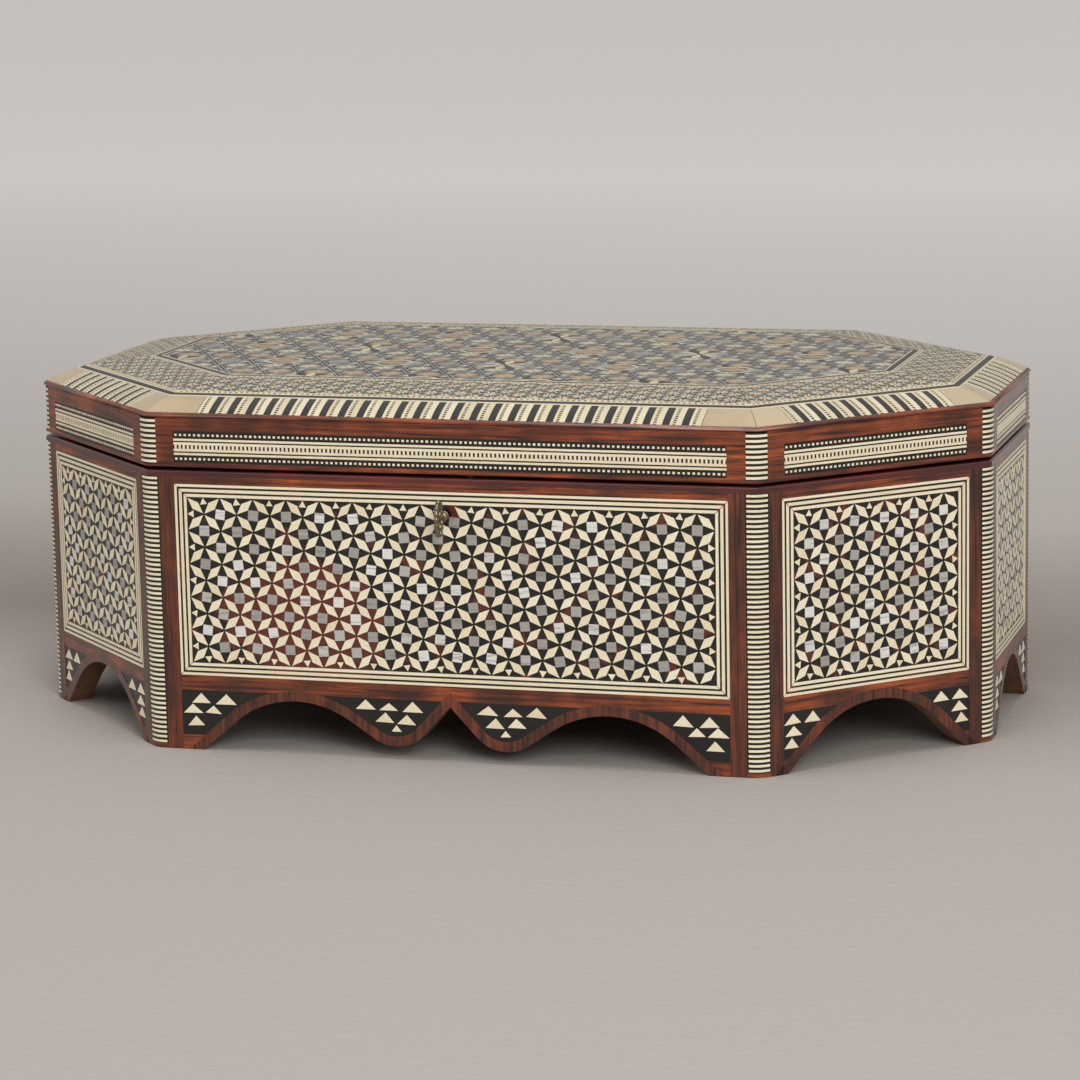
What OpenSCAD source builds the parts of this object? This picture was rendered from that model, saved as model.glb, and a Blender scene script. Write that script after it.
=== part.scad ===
// Eight-sided inlaid casket with a hinged, gently crowned lid, shaped apron feet and a small box lock.
// Millimetres. +Z is up, the front (the side with the key) faces -Y, and z = 0 is the surface under the feet.

/* [Box] */
// Length over the two end faces
box_length = 400; // [385:1:415]
// Depth from the front face to the back face
box_depth = 249; // [240:1:260]
// How far each slanting corner cuts back the front and the end faces
corner_cut = 76.2; // [74:0.2:79]
// Height of the top of the body's rim
rim_top = 113; // [112:0.5:116]
// Open seam between the body's rim and the lid
seam_gap = 1; // [0.6:0.1:1.4]

/* [Walls] */
// Thickness of a wall with its facing
wall_t = 10; // [9.5:0.5:12]
// Thickness of the facings and the inlay panels
facing_t = 2; // [1.6:0.1:2.4]
// Width of a striped corner strip on each of the two faces it joins
strip_w = 4.5; // [3.5:0.5:6]
// Radius that rounds the striped corners
strip_round = 7.7; // [5:0.1:9]
// Height of the solid rim that edges the body's opening
rim_h = 2.4; // [2:0.1:3]
// Rounding of the rim and of the lid's lower edge
rim_round = 1.2; // [0.6:0.1:1.6]

/* [Feet and apron] */
// Height of the two arches under the front and the back
long_arch_top = 21.6; // [19:0.2:23]
// Radius of those arches
long_arch_r = 40; // [38:0.5:41]
// Distance of those arches from the middle
long_arch_x = 64; // [63:0.5:65]
// Distance of the two hanging lobes from the middle
lobe_x = 22.5; // [22:0.5:23]
// Height of a lobe's lowest point
lobe_z = 5.3; // [4:0.1:7]
// Radius of a lobe
lobe_r = 16; // [15:0.5:17]
// Slope of the outer side of an arch, where it runs down to a foot
arch_flank = 41; // [38:1:46]
// Slope of the pointed notch between the lobes
notch_flank = 47.7; // [45:0.5:50]
// Height of the single arch under every other face
short_arch_top = 24.4; // [22:0.2:24.4]
// Width of a foot beside that arch
short_foot_w = 12.5; // [11:0.5:14]
// Width of the wooden edging along the arches
edging_w = 4; // [3:0.5:5]
// Top of the black corner pieces, which is the underside of the lower rail
spandrel_top = 24.4; // [24:0.2:26]
// Lowest point of the black corner pieces
spandrel_low = 6; // [5:0.5:8]

/* [Inlay panels] */
// Height of the inlay panels
panel_h = 77; // [72:0.5:77]
// Height of their lower edge
panel_z = 30.5; // [28:0.5:31]
// Wood beside the panel on the front and back faces
long_margin = 11.6; // [10:0.1:13]
// Wood beside the panel on the other faces
short_margin = 10.8; // [10:0.1:13]

// How far the ground of an inlay lies behind the face, for the pieces set in it
inlay_set = 0.15; // [0.1:0.05:0.3]

/* [Lid] */
// Height of the lid's top edge above the floor
lid_edge_z = 135.3; // [133:0.1:138]
// Rise of the crown above that edge
crown_rise = 10.2; // [7:0.1:13]
// How quickly the crown rises from the edge: smaller is steeper
crown_reach = 17; // [13:0.5:22]
// Thickness of the marquetry on the crown
marquetry_t = 1.2; // [1:0.1:1.6]
// Width of the keyed border round the lid
border_w = 16; // [14:0.5:18]
// Inset of the star field in the middle of the lid
field_inset = 45.5; // [40:0.5:50]
// Underside of the solid top board
board_z = 130; // [129:0.5:131]
// Lower edge of the inlaid band on the lid's sides
band_z = 116.2; // [115.5:0.1:117]
// Height of that band
band_h = 12.4; // [10:0.1:13]
// Depth of that band
band_t = 1.2; // [1:0.1:1.6]
// Wood at each end of the band
band_margin = 12; // [9:0.5:14]

/* [Inside] */
// Underside of the bottom board
floor_z = 26; // [25.5:0.5:28]
// Thickness of the bottom board
floor_t = 6; // [5:0.5:8]
// Thickness of the velvet-covered lining
lining_t = 1.5; // [1:0.1:2]
// How far the wall lining stops below the rim
lining_drop = 1; // [0.5:0.1:3]

/* [Hinges] */
// Distance of each hinge from the middle
hinge_x = 70; // [60:1:80]
// Length of a hinge
hinge_len = 38; // [32:1:44]
// Thickness of a hinge leaf
leaf_t = 0.9; // [0.8:0.05:1]
// How deep a leaf reaches onto the wall
leaf_w = 8; // [7:0.5:8.5]
// Radius of the knuckles
knuckle_r = 2.2; // [2:0.1:2.4]
// How far the hinge axis stands behind the back face
axis_out = 1.2; // [1:0.1:1.6]
// Radius of a hinge pin
pin_r = 1; // [0.8:0.05:1.1]
// Running clearance round pins and turning parts
clearance = 0.05; // [0.03:0.01:0.08]

/* [Lock and key] */
// Height of the keyhole
key_z = 98.6; // [97:0.2:99]
// Radius of the key's shank
shank_r = 1.5; // [1.3:0.1:1.6]
// How far the bow reaches in front of the face
key_reach = 13; // [12.6:0.1:14]
// Height of the bow
bow_h = 15; // [13:0.1:16]
// Depth of the bow from its tip to the shank
bow_d = 9; // [8:0.1:10]
// Thickness of the bow
bow_t = 1.9; // [1.6:0.1:2.4]
// Width of the bow's rim round its piercing
bow_rim = 2.7; // [2.6:0.1:3]
// How far the slot of the keyhole runs below its centre
keyhole_drop = 5.6; // [4:0.1:6.5]
// Travel of the bolt
bolt_throw = 9; // [9:0.1:9.2]

/* [Hidden] */
$fn = 64;
half_l = box_length / 2;
half_d = box_depth / 2;
knuckle_reach = axis_out + knuckle_r;
// The box sits this far back so that the origin is under the middle of everything, key and hinges included.
box_y = (key_reach - knuckle_reach) / 2;
mitre = tan(22.5);
long_face = box_length - 2 * corner_cut;
slant_face = corner_cut * sqrt(2);
end_face = box_depth - 2 * corner_cut;
face_len = [long_face, slant_face, end_face, slant_face, long_face, slant_face, end_face, slant_face];
slant_x = half_l - corner_cut / 2;
slant_y = half_d - corner_cut / 2;
face_mid = [
    [0, -half_d], [slant_x, -slant_y], [half_l, 0], [slant_x, slant_y],
    [0, half_d], [-slant_x, slant_y], [-half_l, 0], [-slant_x, -slant_y],
];
LONG_FACES = [0, 4];
arc_steps = 20;
frame_top = rim_top - rim_h;
sole_t = 2;
lid_base = rim_top + seam_gap;
lid_lip = 1.4;
strip_top = lid_edge_z - marquetry_t - 0.5;
facing_top = lid_edge_z - marquetry_t - 0.1;
// Insets at which the crown's curve is broken into flats, between the parts' own edges.
edge_insets = [facing_t, 5, 8, 12];
band_insets = [20, 25, 31, 38];
field_insets = [54, 65, 80, 105];
lining_z = floor_z + floor_t + lining_t;
leaf_gap = 0.3;
seam_z = rim_top + seam_gap / 2;
axis_y = box_y + half_d + axis_out;
body_leaf_z = seam_z - leaf_gap / 2 - leaf_t;
lid_leaf_z = seam_z + leaf_gap / 2;
knuckles = 5;
knuckle_len = hinge_len / knuckles;
hinge_screw_x = [-14, 0, 14];
hinge_screw_y = axis_y - 6.3;
screw_r = 1.1;
screw_len = 9;
front_y = box_y - half_d;
cam_r = 4;
arm_r = 7.6;
arm_w = 2.2;
arm_rest = 45;
case_w = 36;
case_low = key_z - 7;
case_top = rim_top - 1;
case_front = 2.8;
case_back = 9.6;
case_wall = 0.7;
plate_w = 46;
plate_t = 1;
lock_screw_x = 20.2;
lock_screw_y = 6.2;
lock_screw_len = 8;
guide_in = 7;
guide_out = 11.2;
bolt_y0 = 5.3;
bolt_y1 = 7.1;
bolt_low = key_z + 4.4;
bolt_high = key_z + 9.8;
bolt_half = 12;
notch_half = 2.2;
notch_top = key_z + 8.2;
staple_x = 9.2;
staple_w = 2;
staple_t = 0.8;
staple_y0 = 3.95;
staple_y1 = 8.45;
staple_low = key_z + 3;
slot_y0 = 3.5;
slot_y1 = 8.9;
bit_r = 3.05;
bit_t = 1.2;
key_end = 7.5;

// ---- Setting out -------------------------------------------------------------------------------

function is_long(i) = i == LONG_FACES[0] || i == LONG_FACES[1];
function panel_w(i) = face_len[i] - 2 * (is_long(i) ? long_margin : short_margin);

// The plan of the box, moved in by d on every side.
function octagon(d) =
    let (x1 = half_l - corner_cut - mitre * d, y1 = half_d - corner_cut - mitre * d)
    let (x2 = half_l - d, y2 = half_d - d)
    [[-x1, -y2], [x1, -y2], [x2, -y1], [x2, y1], [x1, y2], [-x1, y2], [-x2, y1], [-x2, -y1]];

// Height of the crowned top at a distance d in from the edge.
function crown(d) = lid_edge_z + crown_rise * (1 - exp(-d / crown_reach));

// Puts the box's own centre where it belongs.
module placed() {
    translate([0, box_y, 0]) children();
}

// Local frame of face i: x to the right seen from outside, y inward from the face, z up.
module on_face(i) {
    placed() translate(concat(face_mid[i], 0)) rotate([0, 0, 45 * i]) children();
}

// Plan of a bar behind face i between two depths, mitred to its neighbours.
module mitred_plan(i, y0, y1) {
    a = face_len[i] / 2;
    polygon([[-a + mitre * y0, y0], [a - mitre * y0, y0], [a - mitre * y1, y1], [-a + mitre * y1, y1]]);
}

// An outline drawn in x and z, pushed inward from depth y0 to depth y1.
module pushed_in(y0, y1) {
    translate([0, y1, 0]) rotate([90, 0, 0]) linear_extrude(y1 - y0) children();
}

// A section drawn in depth and height, run along face i and mitred at both ends.
module run_along(i, depth) {
    a = face_len[i];
    intersection() {
        translate([-a / 2, 0, 0]) rotate([90, 0, 90]) linear_extrude(a) children();
        linear_extrude(2 * lid_edge_z) mitred_plan(i, 0, depth);
    }
}

module octagon_plate(d, z0, z1) {
    placed() translate([0, 0, z0]) linear_extrude(z1 - z0) polygon(octagon(d));
}

// ---- Apron outline -----------------------------------------------------------------------------

function arc(centre, r, first, last) = [
    for (k = [0:arc_steps])
    let (angle = first + (last - first) * k / arc_steps)
    centre + r * [cos(angle), sin(angle)],
];

function mirrored(points) = [for (k = [len(points) - 1:-1:0]) [-points[k].x, points[k].y]];

// The left half of the open shape under a long face, grown by e: a foot's flank, an arch and a hanging lobe.
function long_half(e) =
    let (arch = [-long_arch_x, long_arch_top - long_arch_r], lobe = [-lobe_x, lobe_z + lobe_r])
    let (r1 = long_arch_r + e, r2 = lobe_r - e, span = lobe - arch)
    let (tangent = atan2(span.y, span.x) + acos((r1 + r2) / norm(span)))
    let (over = arc(arch, r1, 90 + arch_flank, tangent))
    let (under = arc(lobe, r2, tangent + 180, 270 + notch_flank))
    let (foot = over[0].x - (over[0].y + 1) / tan(arch_flank))
    concat([[foot, -1]], over, under);

// The whole of it, with the pointed notch in the middle.
function long_opening(e) =
    let (half = long_half(e), last = half[len(half) - 1])
    let (notch = [0, last.y - last.x * tan(notch_flank)])
    concat(half, [notch], mirrored(half));

// The open shape under a short face, grown by e: one arch between two feet.
function short_opening(i, e) =
    let (flank = arch_flank + 3, slope = tan(flank), half_span = face_len[i] / 2 - short_foot_w)
    let (r = (half_span - short_arch_top / slope) / (sin(flank) - (1 - cos(flank)) / slope))
    let (over = arc([0, short_arch_top - r], r + e, 90 + flank, 90 - flank))
    let (foot = over[0].x - (over[0].y + 1) / slope)
    concat([[foot, -1]], over, [[-foot, -1]]);

module apron_opening(i, e) {
    polygon(is_long(i) ? long_opening(e) : short_opening(i, e));
}

module spandrel_outline(i) {
    w = panel_w(i);
    difference() {
        translate([-w / 2, spandrel_low]) square([w, spandrel_top - spandrel_low]);
        apron_opening(i, edging_w);
    }
}

// A hole for the shank with a slot below it that reaches down by drop.
module keyhole_outline(grow, drop) {
    translate([0, key_z]) circle(shank_r + grow);
    translate([-bit_t / 2 - grow, key_z - drop]) square([bit_t + 2 * grow, drop]);
}

// ---- Body --------------------------------------------------------------------------------------

module wall(i) {
    color("burlywood") difference() {
        on_face(i) linear_extrude(frame_top) mitred_plan(i, facing_t, wall_t);
        on_face(i) pushed_in(0, wall_t + 1) apron_opening(i, 0);
        if (i == 0) lock_mortise();
        if (i == 4) hinge_screw_holes(body_leaf_z);
    }
}

module frame(i) {
    a = face_len[i] / 2 - strip_w;
    w = panel_w(i);
    color("saddlebrown") on_face(i) pushed_in(0, facing_t) difference() {
        translate([-a, 0]) square([2 * a, frame_top]);
        translate([-w / 2, panel_z]) square([w, panel_h]);
        spandrel_outline(i);
        apron_opening(i, 0);
    }
}

module inlay(i) {
    w = panel_w(i);
    color("ivory") on_face(i) pushed_in(inlay_set, facing_t) difference() {
        translate([-w / 2, panel_z]) square([w, panel_h]);
        if (i == 0) keyhole_outline(0.7, keyhole_drop);
    }
}

module apron_spandrels() {
    color("black") for (i = [0:7]) on_face(i) pushed_in(inlay_set, facing_t) spandrel_outline(i);
}

// Plan of a striped strip that wraps one corner; x runs along the bisector's normal.
module strip_plan() {
    tangent = strip_round * mitre;
    c = cos(22.5);
    s = sin(22.5);
    tip = facing_t / c;
    difference() {
        polygon([
            [0, 0], [strip_w * c, strip_w * s], [strip_w * c - facing_t * s, strip_w * s + facing_t * c],
            [0, tip], [facing_t * s - strip_w * c, strip_w * s + facing_t * c], [-strip_w * c, strip_w * s],
        ]);
        difference() {
            polygon([[0, -1], [tangent * c + 1, tangent * s], [-tangent * c - 1, tangent * s]]);
            translate([0, strip_round / c]) circle(strip_round);
        }
    }
}

// One strip at each corner of the plan, standing from z0 to z1.
module corner_strips(z0, z1) {
    for (i = [0:7]) {
        on_face(i) translate([face_len[i] / 2, 0, z0]) rotate([0, 0, 22.5])
            linear_extrude(z1 - z0) strip_plan();
    }
}

module body_corner_strips() {
    color("wheat") corner_strips(sole_t, frame_top);
    color("saddlebrown") corner_strips(0, sole_t);
}

module rim_section() {
    translate([0, frame_top]) square([wall_t, rim_h - rim_round]);
    translate([rim_round, frame_top]) square([wall_t - rim_round, rim_h]);
    translate([rim_round, rim_top - rim_round]) circle(rim_round);
}

module body_rim() {
    color("darkred") difference() {
        for (i = [0:7]) on_face(i) run_along(i, wall_t) rim_section();
        lock_mortise();
        for (x = [-hinge_x, hinge_x]) hinge_recess(x, body_leaf_z, rim_top + 1);
        hinge_screw_holes(body_leaf_z);
    }
}

module bottom_board() {
    color("burlywood") octagon_plate(wall_t, floor_z, floor_z + floor_t);
}

module floor_lining() {
    color("maroon") octagon_plate(wall_t + lining_t, floor_z + floor_t, lining_z);
}

module wall_lining() {
    color("maroon") difference() {
        octagon_plate(wall_t, floor_z + floor_t, rim_top - lining_drop);
        octagon_plate(wall_t + lining_t, floor_z, rim_top);
    }
}

// ---- Lid ---------------------------------------------------------------------------------------

module lid_side_section() {
    translate([0, lid_base + rim_round]) square([wall_t, lid_lip - rim_round]);
    translate([rim_round, lid_base]) square([wall_t - rim_round, lid_lip]);
    intersection() {
        translate([rim_round, lid_base + rim_round]) circle(rim_round);
        translate([0, lid_base]) square([wall_t, lid_lip]);
    }
    translate([facing_t, lid_base]) square([wall_t - facing_t, board_z - lid_base]);
}

module lid_side(i) {
    a = face_len[i] / 2 - strip_w;
    low = lid_base + lid_lip;
    w = face_len[i] - 2 * band_margin;
    color("sienna") difference() {
        on_face(i) union() {
            run_along(i, wall_t) lid_side_section();
            translate([-a, 0, low]) cube([2 * a, facing_t, facing_top - low]);
        }
        on_face(i) translate([-w / 2, -1, band_z]) cube([w, band_t + 1, band_h]);
        if (i == 0) link_recess();
        if (i == 4) {
            for (x = [-hinge_x, hinge_x]) hinge_recess(x, rim_top, lid_leaf_z + leaf_t);
            hinge_screw_holes(lid_leaf_z + leaf_t - screw_len);
        }
    }
}

module lid_side_bands() {
    for (i = [0:7]) {
        w = face_len[i] - 2 * band_margin;
        color("beige") on_face(i) translate([-w / 2, inlay_set, band_z])
            cube([w, band_t - inlay_set, band_h]);
    }
}

module lid_corner_strips() {
    color("wheat") corner_strips(lid_base + lid_lip, strip_top);
}

// The four-sided faces between ring k and the next one, for every k listed.
function ring_faces(ks, n) = [
    for (k = ks, j = [0:7])
    let (a = k * 8, b = ((k + 1) % n) * 8, next = (j + 1) % 8)
    [b + j, b + next, a + next, a + j],
];

// A sheet of marquetry on the crown between the first and the last inset.
module crown_sheet(insets) {
    n = len(insets);
    points = [
        for (d = insets, q = octagon(d)) [q.x, q.y, crown(d)],
        for (k = [n - 1:-1:0], q = octagon(insets[k])) [q.x, q.y, crown(insets[k]) - marquetry_t],
    ];
    placed() polyhedron(points, ring_faces([0:2 * n - 1], 2 * n));
}

// A solid from height z0 up to the crown less drop, inside the first inset.
module crown_block(insets, z0, drop) {
    n = len(insets);
    points = [
        for (q = octagon(insets[0])) [q.x, q.y, z0],
        for (d = insets, q = octagon(d)) [q.x, q.y, crown(d) - drop],
    ];
    underside = [for (j = [0:7]) j];
    summit = [for (j = [7:-1:0]) n * 8 + j];
    placed() polyhedron(points, concat(ring_faces([0:n - 1], n + 1), [underside, summit]));
}

module lid_board() {
    insets = concat(edge_insets, [border_w], band_insets, [field_inset], field_insets);
    color("burlywood") crown_block(insets, board_z, marquetry_t);
}

module lid_border() {
    color("wheat") crown_sheet(concat([0], edge_insets, [border_w]));
}

module lid_mosaic_band() {
    color("tan") crown_sheet(concat([border_w], band_insets, [field_inset]));
}

module lid_star_panel() {
    insets = concat([field_inset], field_insets);
    color("gainsboro") difference() {
        crown_block(insets, lid_edge_z, 0);
        crown_block(insets, lid_edge_z - 1, marquetry_t);
    }
}

module lid_lining() {
    color("maroon") octagon_plate(wall_t, board_z - lining_t, board_z);
}

// ---- Hinges ------------------------------------------------------------------------------------

module along_axis(x0, x1, r) {
    translate([x0, axis_y, seam_z]) rotate([0, 90, 0]) cylinder(r = r, h = x1 - x0);
}

// Room for a leaf and the knuckles of the hinge at x.
module hinge_recess(x, z0, z1) {
    half = hinge_len / 2 + 0.3;
    translate([x - half, axis_y - axis_out - leaf_w - 0.3, z0]) cube([2 * half, leaf_w + 3, z1 - z0]);
    along_axis(x - half - 1.2, x + half + 1.2, knuckle_r + 0.4);
}

module hinge_screw_holes(z0) {
    for (x = [-hinge_x, hinge_x], dx = hinge_screw_x) {
        translate([x + dx, hinge_screw_y, z0 - screw_len]) cylinder(r = screw_r + clearance, h = 3 * screw_len);
    }
}

// A leaf with its share of the knuckles: parity 0 takes the first, third and fifth, parity 1 the others.
module hinge_leaf(x, z, parity, head_z) {
    start = x - hinge_len / 2;
    difference() {
        union() {
            translate([start, axis_y - axis_out - leaf_w, z])
                cube([hinge_len, leaf_w - knuckle_r + axis_out - 0.5, leaf_t]);
            for (k = [parity:2:knuckles - 1]) {
                x0 = start + k * knuckle_len + (k == 0 ? 0 : leaf_gap / 2);
                x1 = start + (k + 1) * knuckle_len - (k == knuckles - 1 ? 0 : leaf_gap / 2);
                along_axis(x0, x1, knuckle_r);
                translate([x0, axis_y - knuckle_r - 0.6, z]) cube([x1 - x0, knuckle_r + 0.6, leaf_t]);
            }
        }
        along_axis(start - 1, start + hinge_len + 1, pin_r + clearance);
        for (dx = hinge_screw_x) {
            translate([x + dx, hinge_screw_y, z - 1]) cylinder(r = screw_r + clearance, h = leaf_t + 2);
        }
    }
}

module hinge_pin(x) {
    color("goldenrod") {
        along_axis(x - hinge_len / 2 - 0.2, x + hinge_len / 2 + 0.2, pin_r);
        along_axis(x - hinge_len / 2 - 1.2, x - hinge_len / 2 - 0.2, pin_r + 0.6);
        along_axis(x + hinge_len / 2 + 0.2, x + hinge_len / 2 + 1.2, pin_r + 0.6);
    }
}

// Screws under the leaves: a shank in the wood, flush with the leaf's face in the seam.
module hinge_body_screws() {
    color("goldenrod") for (x = [-hinge_x, hinge_x], dx = hinge_screw_x) {
        translate([x + dx, hinge_screw_y, body_leaf_z + leaf_t - screw_len])
            cylinder(r = screw_r, h = screw_len);
    }
}

module hinge_lid_screws() {
    color("goldenrod") for (x = [-hinge_x, hinge_x], dx = hinge_screw_x) {
        translate([x + dx, hinge_screw_y, lid_leaf_z]) cylinder(r = screw_r, h = screw_len);
    }
}

// ---- Lock and key ------------------------------------------------------------------------------

// A block measured from the front face: x, depth and height ranges.
module behind_front(x0, x1, y0, y1, z0, z1) {
    translate([x0, front_y + y0, z0]) cube([x1 - x0, y1 - y0, z1 - z0]);
}

// Holes for the screws at both ends of the lock's plates, from z0 up by h.
module lock_screw_holes(z0, h) {
    for (x = [-lock_screw_x, lock_screw_x]) {
        translate([x, front_y + lock_screw_y, z0]) cylinder(r = screw_r + clearance, h = h);
    }
}

module lock_mortise() {
    half = case_w / 2 + 0.3;
    plate_half = plate_w / 2 + 0.2;
    behind_front(-half, half, case_front - 0.3, wall_t + 1, case_low - 0.3, rim_top + 1);
    behind_front(-plate_half, plate_half, case_front - 0.3, wall_t + 1, case_top, rim_top + 1);
    lock_screw_holes(rim_top - lock_screw_len - 1, lock_screw_len + 1);
    on_face(0) pushed_in(0, case_front) keyhole_outline(0.7, keyhole_drop);
}

// The steel box of the lock, its top plate and the two guides that the bolt slides in.
module lock_case() {
    half = case_w / 2;
    inside = half - case_wall;
    color("darkkhaki") difference() {
        union() {
            difference() {
                behind_front(-half, half, case_front, case_back, case_low, case_top);
                behind_front(-inside, inside, slot_y0, slot_y1, case_low + case_wall, case_top - case_wall);
            }
            behind_front(-half, -guide_in, case_front, case_back, bolt_low - 1, bolt_high + 1);
            behind_front(guide_out, half, case_front, case_back, bolt_low - 1, bolt_high + 1);
            behind_front(-plate_w / 2, plate_w / 2, case_front, case_back, case_top, rim_top);
        }
        behind_front(-inside, inside, bolt_y0 - clearance, bolt_y1 + clearance,
            bolt_low - clearance, bolt_high + clearance);
        behind_front(staple_x - 1.6, staple_x + 1.6, slot_y0, slot_y1, case_top - 2, rim_top + 1);
        on_face(0) pushed_in(case_front - 1, slot_y0 + 0.1) translate([0, key_z]) circle(cam_r + clearance);
        on_face(0) pushed_in(slot_y1 - 0.1, case_back + 1) translate([0, key_z]) circle(shank_r + clearance);
        lock_screw_holes(case_top - 1, 3);
    }
}

module lock_screws() {
    color("goldenrod") for (x = [-lock_screw_x, lock_screw_x]) {
        translate([x, front_y + lock_screw_y, rim_top - lock_screw_len])
            cylinder(r = screw_r, h = lock_screw_len);
    }
}

// The turning piece that the key enters: its arm stands in the bolt's notch and carries the bolt along.
module lock_cam() {
    color("darkgoldenrod") on_face(0) {
        difference() {
            union() {
                pushed_in(case_front, slot_y1 - 0.7) translate([0, key_z]) circle(cam_r);
                pushed_in(slot_y0 + 0.5, slot_y0 + 1.3) translate([0, key_z]) circle(cam_r + 0.9);
                pushed_in(bolt_y0 + 0.1, bolt_y1 - 0.1) translate([0, key_z]) rotate(arm_rest)
                    translate([-arm_w / 2, 0]) square([arm_w, arm_r]);
            }
            pushed_in(case_front - 1, key_end + 0.2) keyhole_outline(0.1, bit_r + 0.1);
        }
        pushed_in(slot_y1 - 0.7, case_back) translate([0, key_z]) circle(shank_r);
    }
}

// The bolt at rest stands drawn back, clear of the staple.
module lock_bolt() {
    mid = -bolt_throw / 2;
    color("goldenrod") difference() {
        behind_front(mid - bolt_half, mid + bolt_half, bolt_y0, bolt_y1, bolt_low, bolt_high);
        behind_front(mid - notch_half, mid + notch_half, bolt_y0 - 1, bolt_y1 + 1, bolt_low - 1, notch_top);
    }
}

module link_recess() {
    half = plate_w / 2 + 0.2;
    behind_front(-half, half, case_front - 0.2, wall_t + 1, rim_top, lid_base + plate_t);
    lock_screw_holes(lid_base, lock_screw_len + 1);
}

// The lid's plate with the square staple that the bolt passes through.
module link_plate() {
    x0 = staple_x - staple_w / 2;
    x1 = staple_x + staple_w / 2;
    color("goldenrod") {
        difference() {
            behind_front(-plate_w / 2, plate_w / 2, case_front, case_back, lid_base, lid_base + plate_t);
            lock_screw_holes(lid_base - 1, plate_t + 2);
        }
        behind_front(x0, x1, staple_y0, staple_y0 + staple_t, staple_low, lid_base);
        behind_front(x0, x1, staple_y1 - staple_t, staple_y1, staple_low, lid_base);
        behind_front(x0, x1, staple_y0, staple_y1, staple_low, staple_low + staple_t);
    }
}

module link_screws() {
    color("goldenrod") for (x = [-lock_screw_x, lock_screw_x]) {
        translate([x, front_y + lock_screw_y, lid_base]) cylinder(r = screw_r, h = lock_screw_len);
    }
}

// A long oval outline, drawn smaller by inset all round.
module bow_outline(inset) {
    r = bow_d / 2 - inset;
    rise = bow_h / 2 - bow_d / 2;
    for (side = [-1, 1]) translate([0, side * rise]) circle(r);
    translate([-r, -rise]) square([2 * r, 2 * rise]);
}

// The key, pushed home with its bit downward and its bow upright in front of the face.
module key() {
    bow_y = bow_d / 2 - key_reach;
    color("rosybrown") on_face(0) {
        pushed_in(bow_y + bow_d / 2 - 1, key_end) translate([0, key_z]) circle(shank_r);
        pushed_in(-4.6, -3) translate([0, key_z]) circle(shank_r + 0.8);
        pushed_in(slot_y0 + 0.5, key_end) translate([-bit_t / 2, key_z - bit_r]) square([bit_t, bit_r]);
        translate([-bow_t / 2, bow_y, key_z]) rotate([90, 0, 90]) linear_extrude(bow_t) difference() {
            bow_outline(0);
            bow_outline(bow_rim);
        }
    }
}

// ---- Nodes -------------------------------------------------------------------------------------

wall(0);  // front_wall
wall(1);  // front_right_wall
wall(2);  // right_wall
wall(3);  // back_right_wall
wall(4);  // back_wall
wall(5);  // back_left_wall
wall(6);  // left_wall
wall(7);  // front_left_wall
frame(0);  // front_frame
frame(1);  // front_right_frame
frame(2);  // right_frame
frame(3);  // back_right_frame
frame(4);  // back_frame
frame(5);  // back_left_frame
frame(6);  // left_frame
frame(7);  // front_left_frame
inlay(0);  // front_inlay
inlay(1);  // front_right_inlay
inlay(2);  // right_inlay
inlay(3);  // back_right_inlay
inlay(4);  // back_inlay
inlay(5);  // back_left_inlay
inlay(6);  // left_inlay
inlay(7);  // front_left_inlay
body_corner_strips();
apron_spandrels();
body_rim();
bottom_board();
floor_lining();
wall_lining();
lid_side(0);  // lid_front_side
lid_side(1);  // lid_front_right_side
lid_side(2);  // lid_right_side
lid_side(3);  // lid_back_right_side
lid_side(4);  // lid_back_side
lid_side(5);  // lid_back_left_side
lid_side(6);  // lid_left_side
lid_side(7);  // lid_front_left_side
lid_side_bands();
lid_corner_strips();
lid_board();
lid_border();
lid_mosaic_band();
lid_star_panel();
lid_lining();
color("goldenrod") hinge_leaf(-hinge_x, body_leaf_z, 0);  // left_hinge_body_leaf
color("goldenrod") hinge_leaf(-hinge_x, lid_leaf_z, 1);  // left_hinge_lid_leaf
hinge_pin(-hinge_x);  // left_hinge_pin
color("goldenrod") hinge_leaf(hinge_x, body_leaf_z, 0);  // right_hinge_body_leaf
color("goldenrod") hinge_leaf(hinge_x, lid_leaf_z, 1);  // right_hinge_lid_leaf
hinge_pin(hinge_x);  // right_hinge_pin
hinge_body_screws();
hinge_lid_screws();
lock_case();
lock_bolt();
lock_cam();
lock_screws();
link_plate();
link_screws();
key();
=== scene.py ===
# %% [markdown]
# # An eight-sided inlaid casket
# The real box is a softwood carcass with a thin facing of reddish hardwood. Into the facing the maker set
# panels of small pieces: bone, mother-of-pearl shell and black wood, glued on a dark ground, scraped flush
# and polished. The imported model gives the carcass, the hinges and the lock. This script lays the inlay on
# it piece by piece, so that every lozenge and dot is real geometry and stays crisp at any distance.

# %% Load the frame
import math
import random
import bmesh
import bpy
from mathutils import Matrix, Vector


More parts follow.
